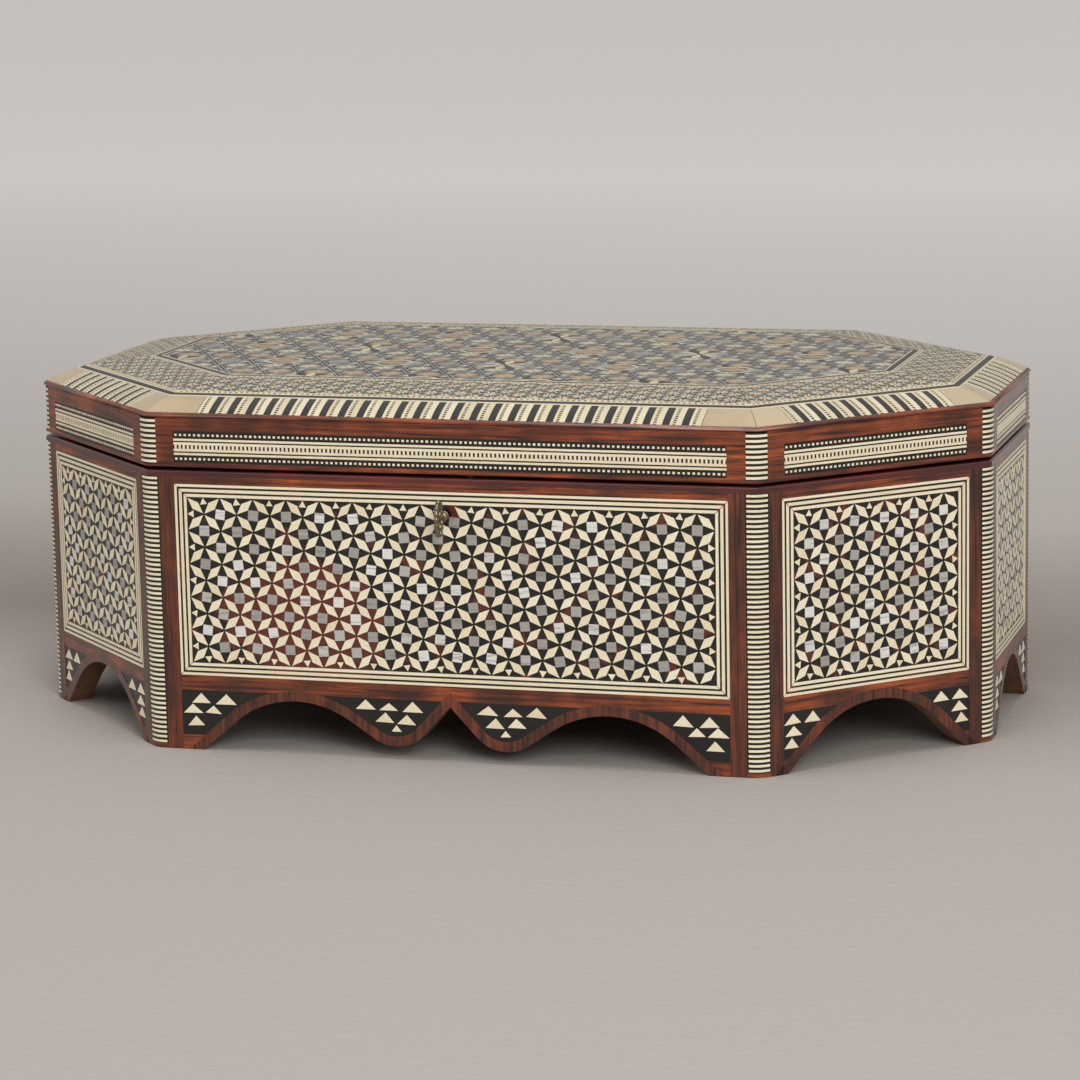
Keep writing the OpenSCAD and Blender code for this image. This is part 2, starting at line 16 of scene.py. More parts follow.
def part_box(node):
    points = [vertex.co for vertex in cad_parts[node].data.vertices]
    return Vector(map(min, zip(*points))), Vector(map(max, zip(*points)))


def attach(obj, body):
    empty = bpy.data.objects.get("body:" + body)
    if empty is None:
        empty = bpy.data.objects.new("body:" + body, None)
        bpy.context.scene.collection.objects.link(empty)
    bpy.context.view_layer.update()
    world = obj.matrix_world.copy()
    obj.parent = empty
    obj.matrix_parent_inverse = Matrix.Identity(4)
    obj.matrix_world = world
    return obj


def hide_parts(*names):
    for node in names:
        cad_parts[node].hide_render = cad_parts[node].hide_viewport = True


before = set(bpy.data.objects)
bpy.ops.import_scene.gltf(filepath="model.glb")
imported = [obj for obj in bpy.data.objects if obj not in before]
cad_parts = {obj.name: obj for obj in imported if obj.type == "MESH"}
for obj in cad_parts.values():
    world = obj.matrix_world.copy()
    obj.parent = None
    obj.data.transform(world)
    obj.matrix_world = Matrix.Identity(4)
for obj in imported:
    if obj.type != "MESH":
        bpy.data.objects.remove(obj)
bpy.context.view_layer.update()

# %% [markdown]
# ## Sizes
# Every place is read off the frame, so that the inlay always fits the box that was packed. The plan is a
# rectangle with its four corners cut at 45 degrees, so three numbers fix it: half the length, half the
# depth, and how far the corner cuts run back.

# %% Read the plan of the box
MM = 0.001
rim_low, rim_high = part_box("body_rim")
lid_face_low, lid_face_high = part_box("lid_front_side")
half_length = (rim_high.x - rim_low.x) / 2
half_depth = (rim_high.y - rim_low.y) / 2
centre_y = (rim_high.y + rim_low.y) / 2
long_face = lid_face_high.x - lid_face_low.x
corner_cut = half_length - long_face / 2
FACES = ["front", "front_right", "right", "back_right", "back", "back_left", "left", "front_left"]
slant_face = corner_cut * math.sqrt(2)
end_face = 2 * (half_depth - corner_cut)
face_length = [long_face, slant_face, end_face, slant_face] * 2
mid_x = half_length - corner_cut / 2
mid_y = half_depth - corner_cut / 2
face_middle = [
    (0, -half_depth), (mid_x, -mid_y), (half_length, 0), (mid_x, mid_y),
    (0, half_depth), (-mid_x, mid_y), (-half_length, 0), (-mid_x, -mid_y),
]
print(f"plan {2 * half_length:.3f} by {2 * half_depth:.3f} m, corners cut {corner_cut:.4f} m")


# %% Frames of the eight faces
def face_plan(i):
    """Takes x along face i and y inward from it to the row frame."""
    x, y = face_middle[i]
    return Matrix.Translation((x, centre_y + y, 0)) @ Matrix.Rotation(math.radians(45 * i), 4, "Z")


def face_upright(i, depth=0.0):
    """Takes a flat drawing, x along face i and y up, to the face, with its own +Z pointing outwards."""
    return face_plan(i) @ Matrix.Translation((0, depth, 0)) @ Matrix.Rotation(math.radians(90), 4, "X")


def is_long(i):
    return i in (0, 4)


# %% [markdown]
# ## Nodes
# Both materials and geometry trees are built from code. One helper adds any node: its settings go in as
# keywords, and each input is a number or the output of another node.

# %% Add a node
def node(tree, kind, inputs=None, **settings):
    added = tree.nodes.new(kind)
    for name, value in settings.items():
        setattr(added, name, value)
    for socket, value in (inputs or {}).items():
        for source in value if isinstance(value, list) else [value]:
            if isinstance(source, bpy.types.NodeSocket):
                tree.links.new(source, added.inputs[socket])
            else:
                added.inputs[socket].default_value = source
    return added


def srgb(code):
    """A hex colour as the linear values that Blender mixes."""
    parts = [int(code[k:k + 2], 16) / 255 for k in (1, 3, 5)]
    return tuple(c / 12.92 if c <= 0.04045 else ((c + 0.055) / 1.055) ** 2.4 for c in parts) + (1.0,)


def new_material(name):
    made = bpy.data.materials.new(name)
    made.use_nodes = True
    return made, made.node_tree, made.node_tree.nodes["Principled BSDF"]


def surface(tree, shader, colour, bump=None, **values):
    """Links the colour and the relief, and sets plain values. An underscore stands for a space in a name."""
    tree.links.new(colour.outputs[2], shader.inputs["Base Color"])
    if bump:
        tree.links.new(bump.outputs[0], shader.inputs["Normal"])
    for name, value in values.items():
        shader.inputs[name.replace("_", " ")].default_value = value


# %% [markdown]
# ## Hardwood facing
# The facing is a reddish tropical hardwood, sliced thin and French polished. Its figure runs along the
# board in dark streaks a millimetre apart, with short open pores and slow changes from brown to orange.
# Noise drawn out along the board gives all three. On the upright faces of the box it is enough to squeeze
# the noise in height: whichever way a face looks, its grain then runs level.

# %% Rosewood
def rosewood(name, stretch, dark, light, polish):
    """stretch is how many streaks the noise has per metre along x, y and z."""
    made, tree, shader = new_material(name)
    place = node(tree, "ShaderNodeTexCoord").outputs["Object"]
    along = node(tree, "ShaderNodeMapping", {"Vector": place, "Scale": stretch})
    streaks = node(tree, "ShaderNodeTexNoise", {"Vector": along.outputs[0], "Scale": 1.0, "Detail": 5.0,
                                                "Roughness": 0.62, "Distortion": 0.35})
    blotches = node(tree, "ShaderNodeTexNoise", {"Vector": place, "Scale": 55.0, "Detail": 3.0})
    fine = node(tree, "ShaderNodeMapping", {"Vector": place, "Scale": tuple(3.1 * s for s in stretch)})
    pores = node(tree, "ShaderNodeTexNoise", {"Vector": fine.outputs[0], "Scale": 1.0, "Detail": 2.0})
    sharp = node(tree, "ShaderNodeMapRange",
                 {"Value": streaks.outputs[0], "From Min": 0.36, "From Max": 0.66})
    slow = node(tree, "ShaderNodeMapRange",
                {"Value": blotches.outputs[0], "From Min": 0.35, "From Max": 0.7,
                                             "To Min": 0.25, "To Max": 1.0})
    amount = node(tree, "ShaderNodeMath", {0: sharp.outputs[0], 1: slow.outputs[0]}, operation="MULTIPLY")
    body = node(tree, "ShaderNodeMix", {0: amount.outputs[0], 6: srgb(dark), 7: srgb(light)},
                data_type="RGBA")
    open_pore = node(tree, "ShaderNodeMapRange",
                     {"Value": pores.outputs[0], "From Min": 0.64, "From Max": 0.7})
    shade = node(tree, "ShaderNodeMath", {0: open_pore.outputs[0], 1: 0.75}, operation="MULTIPLY")
    colour = node(tree, "ShaderNodeMix", {0: shade.outputs[0], 6: body.outputs[2], 7: srgb("#1d0b08")},
                  data_type="RGBA")
    bump = node(tree, "ShaderNodeBump",
                {"Height": streaks.outputs[0], "Strength": 0.12, "Distance": 0.1 * MM})
    surface(tree, shader, colour, bump, Roughness=0.34, Coat_Weight=polish, Coat_Roughness=0.12)
    return made


level_wood = rosewood("French_polished_rosewood_level", (26.0, 26.0, 620.0), "#2b0c06", "#b4531d", 0.5)
upright_wood = rosewood("French_polished_rosewood_upright", (620.0, 620.0, 26.0), "#260e08", "#8a3f1c", 0.5)
red_wood = rosewood("Red_polished_rim_wood", (20.0, 20.0, 420.0), "#330b08", "#6b1f13", 0.7)

# %% [markdown]
# ## Inlay materials
# Cattle bone is cream, with a little variation from piece to piece and faint vessels. Shell is cut from
# the nacre of river mussels: grey or silvery by the angle of the cut, with fine growth lines. The ground
# and the dark pieces are blackened wood. A random number that is the same all over one piece, but differs
# between pieces, gives each chip its own tone, as when the maker takes it from another strip.

# %% Bone
def bone(name, pale, deep, gloss):
    made, tree, shader = new_material(name)
    place = node(tree, "ShaderNodeTexCoord").outputs["Object"]
    each = node(tree, "ShaderNodeNewGeometry").outputs["Random Per Island"]
    cloud = node(tree, "ShaderNodeTexNoise", {"Vector": place, "Scale": 90.0, "Detail": 4.0})
    vessels = node(tree, "ShaderNodeTexNoise", {"Vector": place, "Scale": 1600.0, "Detail": 2.0})
    mixed = node(tree, "ShaderNodeMath", {0: each, 1: cloud.outputs[0]}, operation="MULTIPLY")
    tone = node(tree, "ShaderNodeMix", {0: mixed.outputs[0], 6: srgb(pale), 7: srgb(deep)},
                data_type="RGBA")
    fleck = node(tree, "ShaderNodeMapRange",
                 {"Value": vessels.outputs[0], "From Min": 0.6, "From Max": 0.75,
                                              "To Max": 0.35})
    colour = node(tree, "ShaderNodeMix", {0: fleck.outputs[0], 6: tone.outputs[2], 7: srgb("#8c7750")},
                  data_type="RGBA")
    surface(tree, shader, colour, Roughness=0.38, Coat_Weight=gloss, Coat_Roughness=0.1)
    return made


cream_bone = bone("Scraped_cream_bone", "#f0e7cc", "#dccba2", 0.4)
lid_bone = bone("Lacquered_cream_bone", "#d6ccb0", "#b5a682", 0.5)
aged_bone = bone("Lacquered_yellowed_bone", "#b9a888", "#a08a68", 0.5)


# %% Shell
def shell(name, grey, silver, gloss):
    """Growth lines run level: half of the pieces are dull grey, the others flash silver."""
    made, tree, shader = new_material(name)
    place = node(tree, "ShaderNodeTexCoord").outputs["Object"]
    each = node(tree, "ShaderNodeNewGeometry").outputs["Random Per Island"]
    moved = node(tree, "ShaderNodeVectorMath", {0: each, 1: (3.7, 5.1, 7.3)}, operation="MULTIPLY")
    own = node(tree, "ShaderNodeVectorMath", {0: place, 1: moved.outputs[0]}, operation="ADD")
    drawn = node(tree, "ShaderNodeMapping", {"Vector": own.outputs[0], "Scale": (90.0, 90.0, 900.0)})
    lines = node(tree, "ShaderNodeTexNoise", {"Vector": drawn.outputs[0], "Scale": 1.0, "Detail": 3.0,
                                              "Distortion": 0.4})
    hue = node(tree, "ShaderNodeTexNoise", {"Vector": own.outputs[0], "Scale": 260.0, "Detail": 1.0})
    bright = node(tree, "ShaderNodeMapRange", {"Value": each, "From Min": 0.42, "From Max": 0.8})
    plain = node(tree, "ShaderNodeMix", {0: bright.outputs[0], 6: srgb(grey), 7: srgb(silver)},
                 data_type="RGBA")
    tint = node(tree, "ShaderNodeMix", {0: hue.outputs[0], 6: srgb("#bcd2c8"), 7: srgb("#d8bfc6")},
                data_type="RGBA")
    nacre = node(tree, "ShaderNodeMix", {0: 0.22, 6: plain.outputs[2], 7: tint.outputs[2]},
                 data_type="RGBA")
    line = node(tree, "ShaderNodeMapRange", {"Value": lines.outputs[0], "From Min": 0.53, "From Max": 0.62,
                                             "To Max": 0.55})
    colour = node(tree, "ShaderNodeMix", {0: line.outputs[0], 6: nacre.outputs[2], 7: srgb("#8b8983")},
                  data_type="RGBA")
    bump = node(tree, "ShaderNodeBump",
                {"Height": lines.outputs[0], "Strength": 0.2, "Distance": 0.05 * MM})
    surface(tree, shader, colour, bump, Metallic=0.25, Roughness=0.24, Coat_Weight=gloss,
            Coat_Roughness=0.08)
    return made


nacre_shell = shell("Cut_river_mussel_shell", "#9b9a93", "#f4f4f0", 0.5)
lid_shell = shell("Lacquered_river_mussel_shell", "#6f6e6b", "#a5a4a0", 0.5)


# %% Stained woods
def stained(name, code, other, gloss, patch=None):
    """A close-grained wood in one stain. patch is a place, a size and a colour where the stain failed."""
    made, tree, shader = new_material(name)
    place = node(tree, "ShaderNodeTexCoord").outputs["Object"]
    each = node(tree, "ShaderNodeNewGeometry").outputs["Random Per Island"]
    grain = node(tree, "ShaderNodeTexNoise", {"Vector": place, "Scale": 420.0, "Detail": 4.0})
    amount = node(tree, "ShaderNodeMath", {0: each, 1: grain.outputs[0]}, operation="MULTIPLY")
    colour = node(tree, "ShaderNodeMix", {0: amount.outputs[0], 6: srgb(code), 7: srgb(other)},
                  data_type="RGBA")
    if patch:
        at, size, shade = patch
        near = node(tree, "ShaderNodeMapping", {"Vector": place, "Location": at, "Scale": size},
                    vector_type="TEXTURE")
        ball = node(tree, "ShaderNodeTexGradient", {"Vector": near.outputs[0]}, gradient_type="SPHERICAL")
        ragged = node(tree, "ShaderNodeTexNoise", {"Vector": place, "Scale": 110.0, "Detail": 2.0})
        edge = node(tree, "ShaderNodeMath", {0: ball.outputs[1], 1: ragged.outputs[0]}, operation="ADD")
        inside = node(tree, "ShaderNodeMapRange",
                      {"Value": edge.outputs[0], "From Min": 0.58, "From Max": 0.68})
        colour = node(tree, "ShaderNodeMix", {0: inside.outputs[0], 6: colour.outputs[2], 7: srgb(shade)},
                      data_type="RGBA")
    surface(tree, shader, colour, Roughness=0.36, Coat_Weight=gloss, Coat_Roughness=0.1)
    return made


front_y = centre_y - half_depth
repair = ((-60 * MM, front_y, 53 * MM), (38 * MM, 20 * MM, 26 * MM), "#5a2416")
ebony = stained("Blackened_wood", "#080706", "#181310", 0.3)
ground = stained("Blackened_ground_with_a_redder_repair", "#080706", "#1a1411", 0.3, repair)
lid_ebony = stained("Lacquered_blackened_wood", "#060505", "#14110f", 0.12)
tan_wood = stained("Lacquered_tan_wood", "#a98a66", "#7d5c42", 0.5)
green_wood = stained("Lacquered_green_stained_wood", "#8d9382", "#5e6558", 0.5)
dot_wood = stained("Lacquered_red_dots", "#5f2d1c", "#7c4228", 0.5)

# %% [markdown]
# ## Geometry trees
# Thousands of chips repeat a handful of shapes, which is what Geometry Nodes is for. Four small trees do
# all of the inlay. The first sets one shape on every point of a layout. The second gives flat shapes their
# thickness. The third lifts a flat layout onto the crown of the lid. The fourth stacks layers.

# %% Make a tree and run it
SOCKETS = {"float": "NodeSocketFloat", "int": "NodeSocketInt", "material": "NodeSocketMaterial",
           "vector": "NodeSocketVector"}


def new_tree(name, inputs):
    tree = bpy.data.node_groups.new(name, "GeometryNodeTree")
    tree.interface.new_socket("Geometry", in_out="INPUT", socket_type="NodeSocketGeometry")
    for label, kind in inputs.items():
        tree.interface.new_socket(label, in_out="INPUT", socket_type=SOCKETS[kind])
    tree.interface.new_socket("Geometry", in_out="OUTPUT", socket_type="NodeSocketGeometry")
    return tree, node(tree, "NodeGroupInput").outputs


def run(source, tree, values):
    """Puts a mesh through a tree and returns the result as a plain mesh."""
    holder = bpy.data.objects.new("layout", source)
    bpy.context.scene.collection.objects.link(holder)
    modifier = holder.modifiers.new(tree.name, "NODES")
    modifier.node_group = tree
    for item in tree.interface.items_tree:
        if item.item_type == "SOCKET" and item.in_out == "INPUT" and item.name in values:
            modifier[item.identifier] = values[item.name]
    bpy.context.view_layer.update()
    graph = bpy.context.evaluated_depsgraph_get()
    made = bpy.data.meshes.new_from_object(holder.evaluated_get(graph))
    bpy.data.objects.remove(holder)
    return made


# %% Tree: one shape on every point
scatter, given = new_tree("Shape_on_points", {
    "Sides": "int", "Radius": "float", "Spin": "float", "Length": "float", "Width": "float",
    "Turn jitter": "float", "Size jitter": "float", "Seed": "int", "Material": "material"})
shape = node(scatter, "GeometryNodeMeshCircle", {"Vertices": given["Sides"], "Radius": given["Radius"]},
             fill_type="NGON")
spin = node(scatter, "ShaderNodeCombineXYZ", {"Z": given["Spin"]})
spun = node(scatter, "GeometryNodeTransform", {"Geometry": shape.outputs[0], "Rotation": spin.outputs[0]})
size = node(scatter, "ShaderNodeCombineXYZ", {"X": given["Length"], "Y": given["Width"], "Z": 1.0})
sized = node(scatter, "GeometryNodeTransform", {"Geometry": spun.outputs[0], "Scale": size.outputs[0]})
turn = node(scatter, "GeometryNodeInputNamedAttribute", {"Name": "turn"}, data_type="FLOAT")
wobble = node(scatter, "FunctionNodeRandomValue", {2: -1.0, 3: 1.0, 8: given["Seed"]}, data_type="FLOAT")
angle = node(scatter, "ShaderNodeMath", {0: wobble.outputs[1], 1: given["Turn jitter"],
                                         2: turn.outputs[0]}, operation="MULTIPLY_ADD")
facing = node(scatter, "ShaderNodeCombineXYZ", {"Z": angle.outputs[0]})
other_seed = node(scatter, "ShaderNodeMath", {0: given["Seed"], 1: 17.0}, operation="ADD")
growth = node(scatter, "FunctionNodeRandomValue", {2: -1.0, 3: 1.0, 8: other_seed.outputs[0]},
              data_type="FLOAT")
scale = node(scatter, "ShaderNodeMath", {0: growth.outputs[1], 1: given["Size jitter"], 2: 1.0},
             operation="MULTIPLY_ADD")
placed = node(scatter, "GeometryNodeInstanceOnPoints", {
    "Points": given["Geometry"], "Instance": sized.outputs[0], "Rotation": facing.outputs[0],
    "Scale": scale.outputs[0]})
real = node(scatter, "GeometryNodeRealizeInstances", {"Geometry": placed.outputs[0]})
finish = node(scatter, "GeometryNodeSetMaterial",
              {"Geometry": real.outputs[0], "Material": given["Material"]})
node(scatter, "NodeGroupOutput", {"Geometry": finish.outputs[0]})

# %% Tree: flat shapes made solid, with their upper face at the height of the layout
thicken, given = new_tree("Chips_from_flat_shapes", {"Thickness": "float", "Material": "material"})
down = node(thicken, "ShaderNodeMath", {0: given["Thickness"], 1: -1.0}, operation="MULTIPLY")
below = node(thicken, "ShaderNodeCombineXYZ", {"Z": down.outputs[0]})
lowered = node(thicken, "GeometryNodeSetPosition",
               {"Geometry": given["Geometry"], "Offset": below.outputs[0]})
raised = node(thicken, "GeometryNodeExtrudeMesh", {"Mesh": lowered.outputs[0],
                                                   "Offset Scale": given["Thickness"], "Individual": False})
turned = node(thicken, "GeometryNodeFlipFaces", {"Mesh": lowered.outputs[0]})
closed = node(thicken, "GeometryNodeJoinGeometry", {"Geometry": [turned.outputs[0], raised.outputs[0]]})
merged = node(thicken, "GeometryNodeMergeByDistance",
              {"Geometry": closed.outputs[0], "Distance": 0.001 * MM})
real = node(thicken, "GeometryNodeRealizeInstances", {"Geometry": merged.outputs[0]})
finish = node(thicken, "GeometryNodeSetMaterial",
              {"Geometry": real.outputs[0], "Material": given["Material"]})
node(thicken, "NodeGroupOutput", {"Geometry": finish.outputs[0]})

# %% [markdown]
# ### The crown of the lid
# The lid's top is not flat: it climbs steeply at the edge and levels out towards the middle. Its height
# depends only on the distance in from the edge, the smallest of the distances to the four pairs of sides.
# The same rule in Python gives the ground sheet, and in a tree it lifts the chips.

# %% The crown's rule
MARQUETRY = 1.2 * MM   # thickness of the inlaid layer at the edge of the lid
CROWN_REACH = 17 * MM  # how far in from the edge the crown has made most of its climb
MIDDLE = 105 * MM      # how far in from the edge its highest line is
edge_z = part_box("lid_border")[0].z + MARQUETRY
crown_rise = (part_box("lid_star_panel")[1].z - edge_z) / (1 - math.exp(-MIDDLE / CROWN_REACH))
corner_sum = half_length + half_depth - corner_cut
print(f"crown from {edge_z:.4f} up by {crown_rise:.4f} m")


def crown(inset):
    return edge_z + crown_rise * (1 - math.exp(-inset / CROWN_REACH))


def octagon(inset):
    """The plan of the box moved in by inset, about its own centre, anticlockwise."""
    slide = inset * math.tan(math.radians(22.5))
    x_near, y_near = half_length - corner_cut - slide, half_depth - corner_cut - slide
    x_far, y_far = half_length - inset, half_depth - inset
    return [(-x_near, -y_far), (x_near, -y_far), (x_far, -y_near), (x_far, y_near),
            (x_near, y_far), (-x_near, y_far), (-x_far, y_near), (-x_far, -y_near)]


# %% Tree: lift a flat layout onto the crown
lift, given = new_tree("Lift_onto_crown", {
    "Half length": "float", "Half depth": "float", "Corner sum": "float", "Centre Y": "float",
    "Edge height": "float", "Rise": "float", "Reach": "float", "Material": "material"})
here = node(lift, "GeometryNodeInputPosition")
split = node(lift, "ShaderNodeSeparateXYZ", {0: here.outputs[0]})
from_centre = node(lift, "ShaderNodeMath", {0: split.outputs["Y"], 1: given["Centre Y"]},
                   operation="SUBTRACT")
away_x = node(lift, "ShaderNodeMath", {0: split.outputs["X"]}, operation="ABSOLUTE")
away_y = node(lift, "ShaderNodeMath", {0: from_centre.outputs[0]}, operation="ABSOLUTE")
to_end = node(lift, "ShaderNodeMath", {0: given["Half length"], 1: away_x.outputs[0]}, operation="SUBTRACT")
to_side = node(lift, "ShaderNodeMath", {0: given["Half depth"], 1: away_y.outputs[0]}, operation="SUBTRACT")
both = node(lift, "ShaderNodeMath", {0: away_x.outputs[0], 1: away_y.outputs[0]}, operation="ADD")
to_slant = node(lift, "ShaderNodeMath", {0: given["Corner sum"], 1: both.outputs[0]}, operation="SUBTRACT")
slant = node(lift, "ShaderNodeMath", {0: to_slant.outputs[0], 1: math.sqrt(0.5)}, operation="MULTIPLY")
nearer = node(lift, "ShaderNodeMath", {0: to_end.outputs[0], 1: to_side.outputs[0]}, operation="MINIMUM")
inset = node(lift, "ShaderNodeMath", {0: nearer.outputs[0], 1: slant.outputs[0]}, operation="MINIMUM")
share = node(lift, "ShaderNodeMath", {0: inset.outputs[0], 1: given["Reach"]}, operation="DIVIDE")
minus = node(lift, "ShaderNodeMath", {0: share.outputs[0], 1: -1.0}, operation="MULTIPLY")
decay = node(lift, "ShaderNodeMath", {0: minus.outputs[0]}, operation="EXPONENT")
climb = node(lift, "ShaderNodeMath", {0: 1.0, 1: decay.outputs[0]}, operation="SUBTRACT")
height = node(lift, "ShaderNodeMath", {0: climb.outputs[0], 1: given["Rise"], 2: given["Edge height"]},
              operation="MULTIPLY_ADD")
upward = node(lift, "ShaderNodeCombineXYZ", {"Z": height.outputs[0]})
moved = node(lift, "GeometryNodeSetPosition", {"Geometry": given["Geometry"], "Offset": upward.outputs[0]})
real = node(lift, "GeometryNodeRealizeInstances", {"Geometry": moved.outputs[0]})
finish = node(lift, "GeometryNodeSetMaterial", {"Geometry": real.outputs[0], "Material": given["Material"]})
node(lift, "NodeGroupOutput", {"Geometry": finish.outputs[0]})
CROWN = {"Half length": half_length, "Half depth": half_depth, "Corner sum": corner_sum,
         "Centre Y": centre_y, "Edge height": edge_z, "Rise": crown_rise, "Reach": CROWN_REACH}


def onto_crown(solid, material):
    return run(solid, lift, dict(CROWN, Material=material))



# %% Tree: a stack of equal layers
stack, given = new_tree("Stack_of_layers", {"Count": "int", "Pitch": "float", "Thickness": "float",
                                            "Material": "material"})
layer = node(stack, "GeometryNodeExtrudeMesh",
             {"Mesh": given["Geometry"], "Offset Scale": given["Thickness"],
                                                "Individual": False})
under = node(stack, "GeometryNodeFlipFaces", {"Mesh": given["Geometry"]})
whole = node(stack, "GeometryNodeJoinGeometry", {"Geometry": [under.outputs[0], layer.outputs[0]]})
sealed = node(stack, "GeometryNodeMergeByDistance", {"Geometry": whole.outputs[0], "Distance": 0.001 * MM})
step = node(stack, "ShaderNodeCombineXYZ", {"Z": given["Pitch"]})
levels = node(stack, "GeometryNodeMeshLine", {"Count": given["Count"], "Offset": step.outputs[0]})
repeated = node(stack, "GeometryNodeInstanceOnPoints", {"Points": levels.outputs[0],
                                                        "Instance": sealed.outputs[0]})
real = node(stack, "GeometryNodeRealizeInstances", {"Geometry": repeated.outputs[0]})
finish = node(stack, "GeometryNodeSetMaterial",
              {"Geometry": real.outputs[0], "Material": given["Material"]})
node(stack, "NodeGroupOutput", {"Geometry": finish.outputs[0]})
print("trees:", [t.name for t in bpy.data.node_groups])


# %% Layouts: points with a turn, or flat shapes
def points(places):
    """A layout of (x, y, turn) points."""
    made = bpy.data.meshes.new("points")
    made.from_pydata([(x, y, 0) for x, y, _ in places], [], [])
    turns = made.attributes.new("turn", "FLOAT", "POINT")
    for k, place in enumerate(places):
        turns.data[k].value = place[2]
    return made


def outlines(shapes):
    """A layout of flat shapes, each a list of (x, y) corners, turned to face up."""
    made = bpy.data.meshes.new("outlines")
    corners, faces = [], []
    for outline in shapes:
        area = sum(a[0] * b[1] - b[0] * a[1] for a, b in zip(outline, outline[1:] + outline[:1]))
        start = len(corners)
        corners += [(x, y, 0) for x, y in (outline if area > 0 else outline[::-1])]
        faces.append(list(range(start, start + len(outline))))
    made.from_pydata(corners, [], faces)
    return made


def block(x_low, x_high, y_low, y_high):
    return [(x_low, y_low), (x_high, y_low), (x_high, y_high), (x_low, y_high)]


LOZENGE = {"Sides": 4, "Radius": 0.5, "Spin": 0.0}
SQUARE = {"Sides": 4, "Radius": math.sqrt(0.5), "Spin": math.radians(45)}
WEDGE = {"Sides": 3, "Radius": 1 / math.sqrt(3), "Spin": 0.0}
HEXAGON = {"Sides": 6, "Radius": 1 / math.sqrt(3), "Spin": math.radians(30)}


def shapes_at(places, shape, material, length, width, seed, turn_jitter=0.0, size_jitter=0.0):
    """One flat shape set on every place."""
    values = dict(shape, **{"Length": length, "Width": width, "Seed": seed, "Material": material,
                            "Turn jitter": turn_jitter, "Size jitter": size_jitter})
    return run(points(places), scatter, values)


# %% Gather meshes into one piece that rides on a body
def piece(name, meshes, body, replaced=(), smooth=None):
    gathered = bmesh.new()
    for mesh in meshes:
        gathered.from_mesh(mesh)
    made = bpy.data.meshes.new(name)
    gathered.to_mesh(made)
    gathered.free()
    for material in meshes[0].materials:
        made.materials.append(material)
    if smooth is not None:
        made.shade_smooth()
        made.set_sharp_from_angle(angle=math.radians(smooth))
    added = bpy.data.objects.new(name, made)
    bpy.context.scene.collection.objects.link(added)
    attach(added, body)
    if replaced:
        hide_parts(*replaced)
    print(f"{name}: {len(made.polygons)} faces")
    return added


def refinish(names, material):
    """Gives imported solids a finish."""
    for name in names:
        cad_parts[name].data.materials.clear()
        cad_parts[name].data.materials.append(material)


CHIP = 0.3 * MM


def chips(layout, material, thickness=CHIP):
    return run(layout, thicken, {"Thickness": thickness, "Material": material})


def at_face(mesh, i, depth=0.0):
    mesh.transform(face_upright(i, depth))
    return mesh


# %% [markdown]
# ## Lattice panels
# Each panel is a grid of cells about 7 mm wide. Every second grid point is a node where eight pointed
# shapes meet: each cell carries one bone lozenge on the diagonal between its two nodes, so that four
# lozenges surround every other grid point, which takes a small square of shell. Along the border, where
# there is only room for half, a small bone wedge points at the frame. The makers sawed the pieces by eye,
# so no two are quite alike: a little random turn and size keeps that.

# %% Sizes of the panels, off the frame
inlay_low, inlay_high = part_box("front_inlay")
panel_height = inlay_high.z - inlay_low.z
panel_middle = (inlay_high.z + inlay_low.z) / 2
long_margin = (long_face - (inlay_high.x - inlay_low.x)) / 2
end_low, end_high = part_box("right_inlay")
short_margin = (end_face - (end_high.y - end_low.y)) / 2
panel_width = [length - 2 * (long_margin if is_long(i) else short_margin) for i,
               length in enumerate(face_length)]
COLUMNS = {0: 31, 4: 31, 2: 9, 6: 9}
ROWS = 10
STRINGS = [(0.0, 1.0), (1.85, 1.2), (3.85, 1.15)]  # where each bone line starts and how wide it is, in mm
MITRE_GAP = 0.16 * MM
STRING_WIDTH = 5.15 * MM
WEDGE_INSET = 1.8 * MM
print("panels:", [round(w, 4) for w in panel_width], "by", round(panel_height, 4))


# %% Lay out one lattice
def lattice(i):
    """The places of the lozenges, the shell squares and the border wedges of face i."""
    columns = COLUMNS.get(i, 11)
    wide = (panel_width[i] - 2 * STRING_WIDTH) / columns
    high = (panel_height - 2 * STRING_WIDTH) / ROWS
    left, top = -columns * wide / 2, panel_middle + ROWS * high / 2
    slope = math.atan2(high, wide)
    lozenges, squares, wedges = [], [], []
    for column in range(columns):
        for row in range(ROWS):
            lean = -slope if (column + row) % 2 == 0 else slope
            lozenges.append((left + (column + 0.5) * wide, top - (row + 0.5) * high, lean))
    for column in range(columns + 1):
        for row in range(ROWS + 1):
            x, z = left + column * wide, top - row * high
            if (column + row) % 2 == 0:
                continue
            if 0 < column < columns and 0 < row < ROWS:
                squares.append((x, z, 0.0))
            elif 0 < column < columns:
                up = 1 if row == 0 else -1
                wedges.append((x, z - up * WEDGE_INSET, up * math.pi / 2))
            elif 0 < row < ROWS:
                out = -1 if column == 0 else 1
                wedges.append((x - out * WEDGE_INSET, z, math.pi if out < 0 else 0.0))
    return lozenges, squares, wedges, math.hypot(wide, high)


key_low, key_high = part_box("key")
keyhole_z = (key_high.z + key_low.z) / 2
KEYHOLE_CLEAR = 3.4 * MM


def keep_clear(places, i):
    """Leaves out what would lie over the keyhole, which is in the front."""
    if FACES[i] != "front":
        return places
    return [p for p in places if math.hypot(p[0], p[1] - keyhole_z) > KEYHOLE_CLEAR]


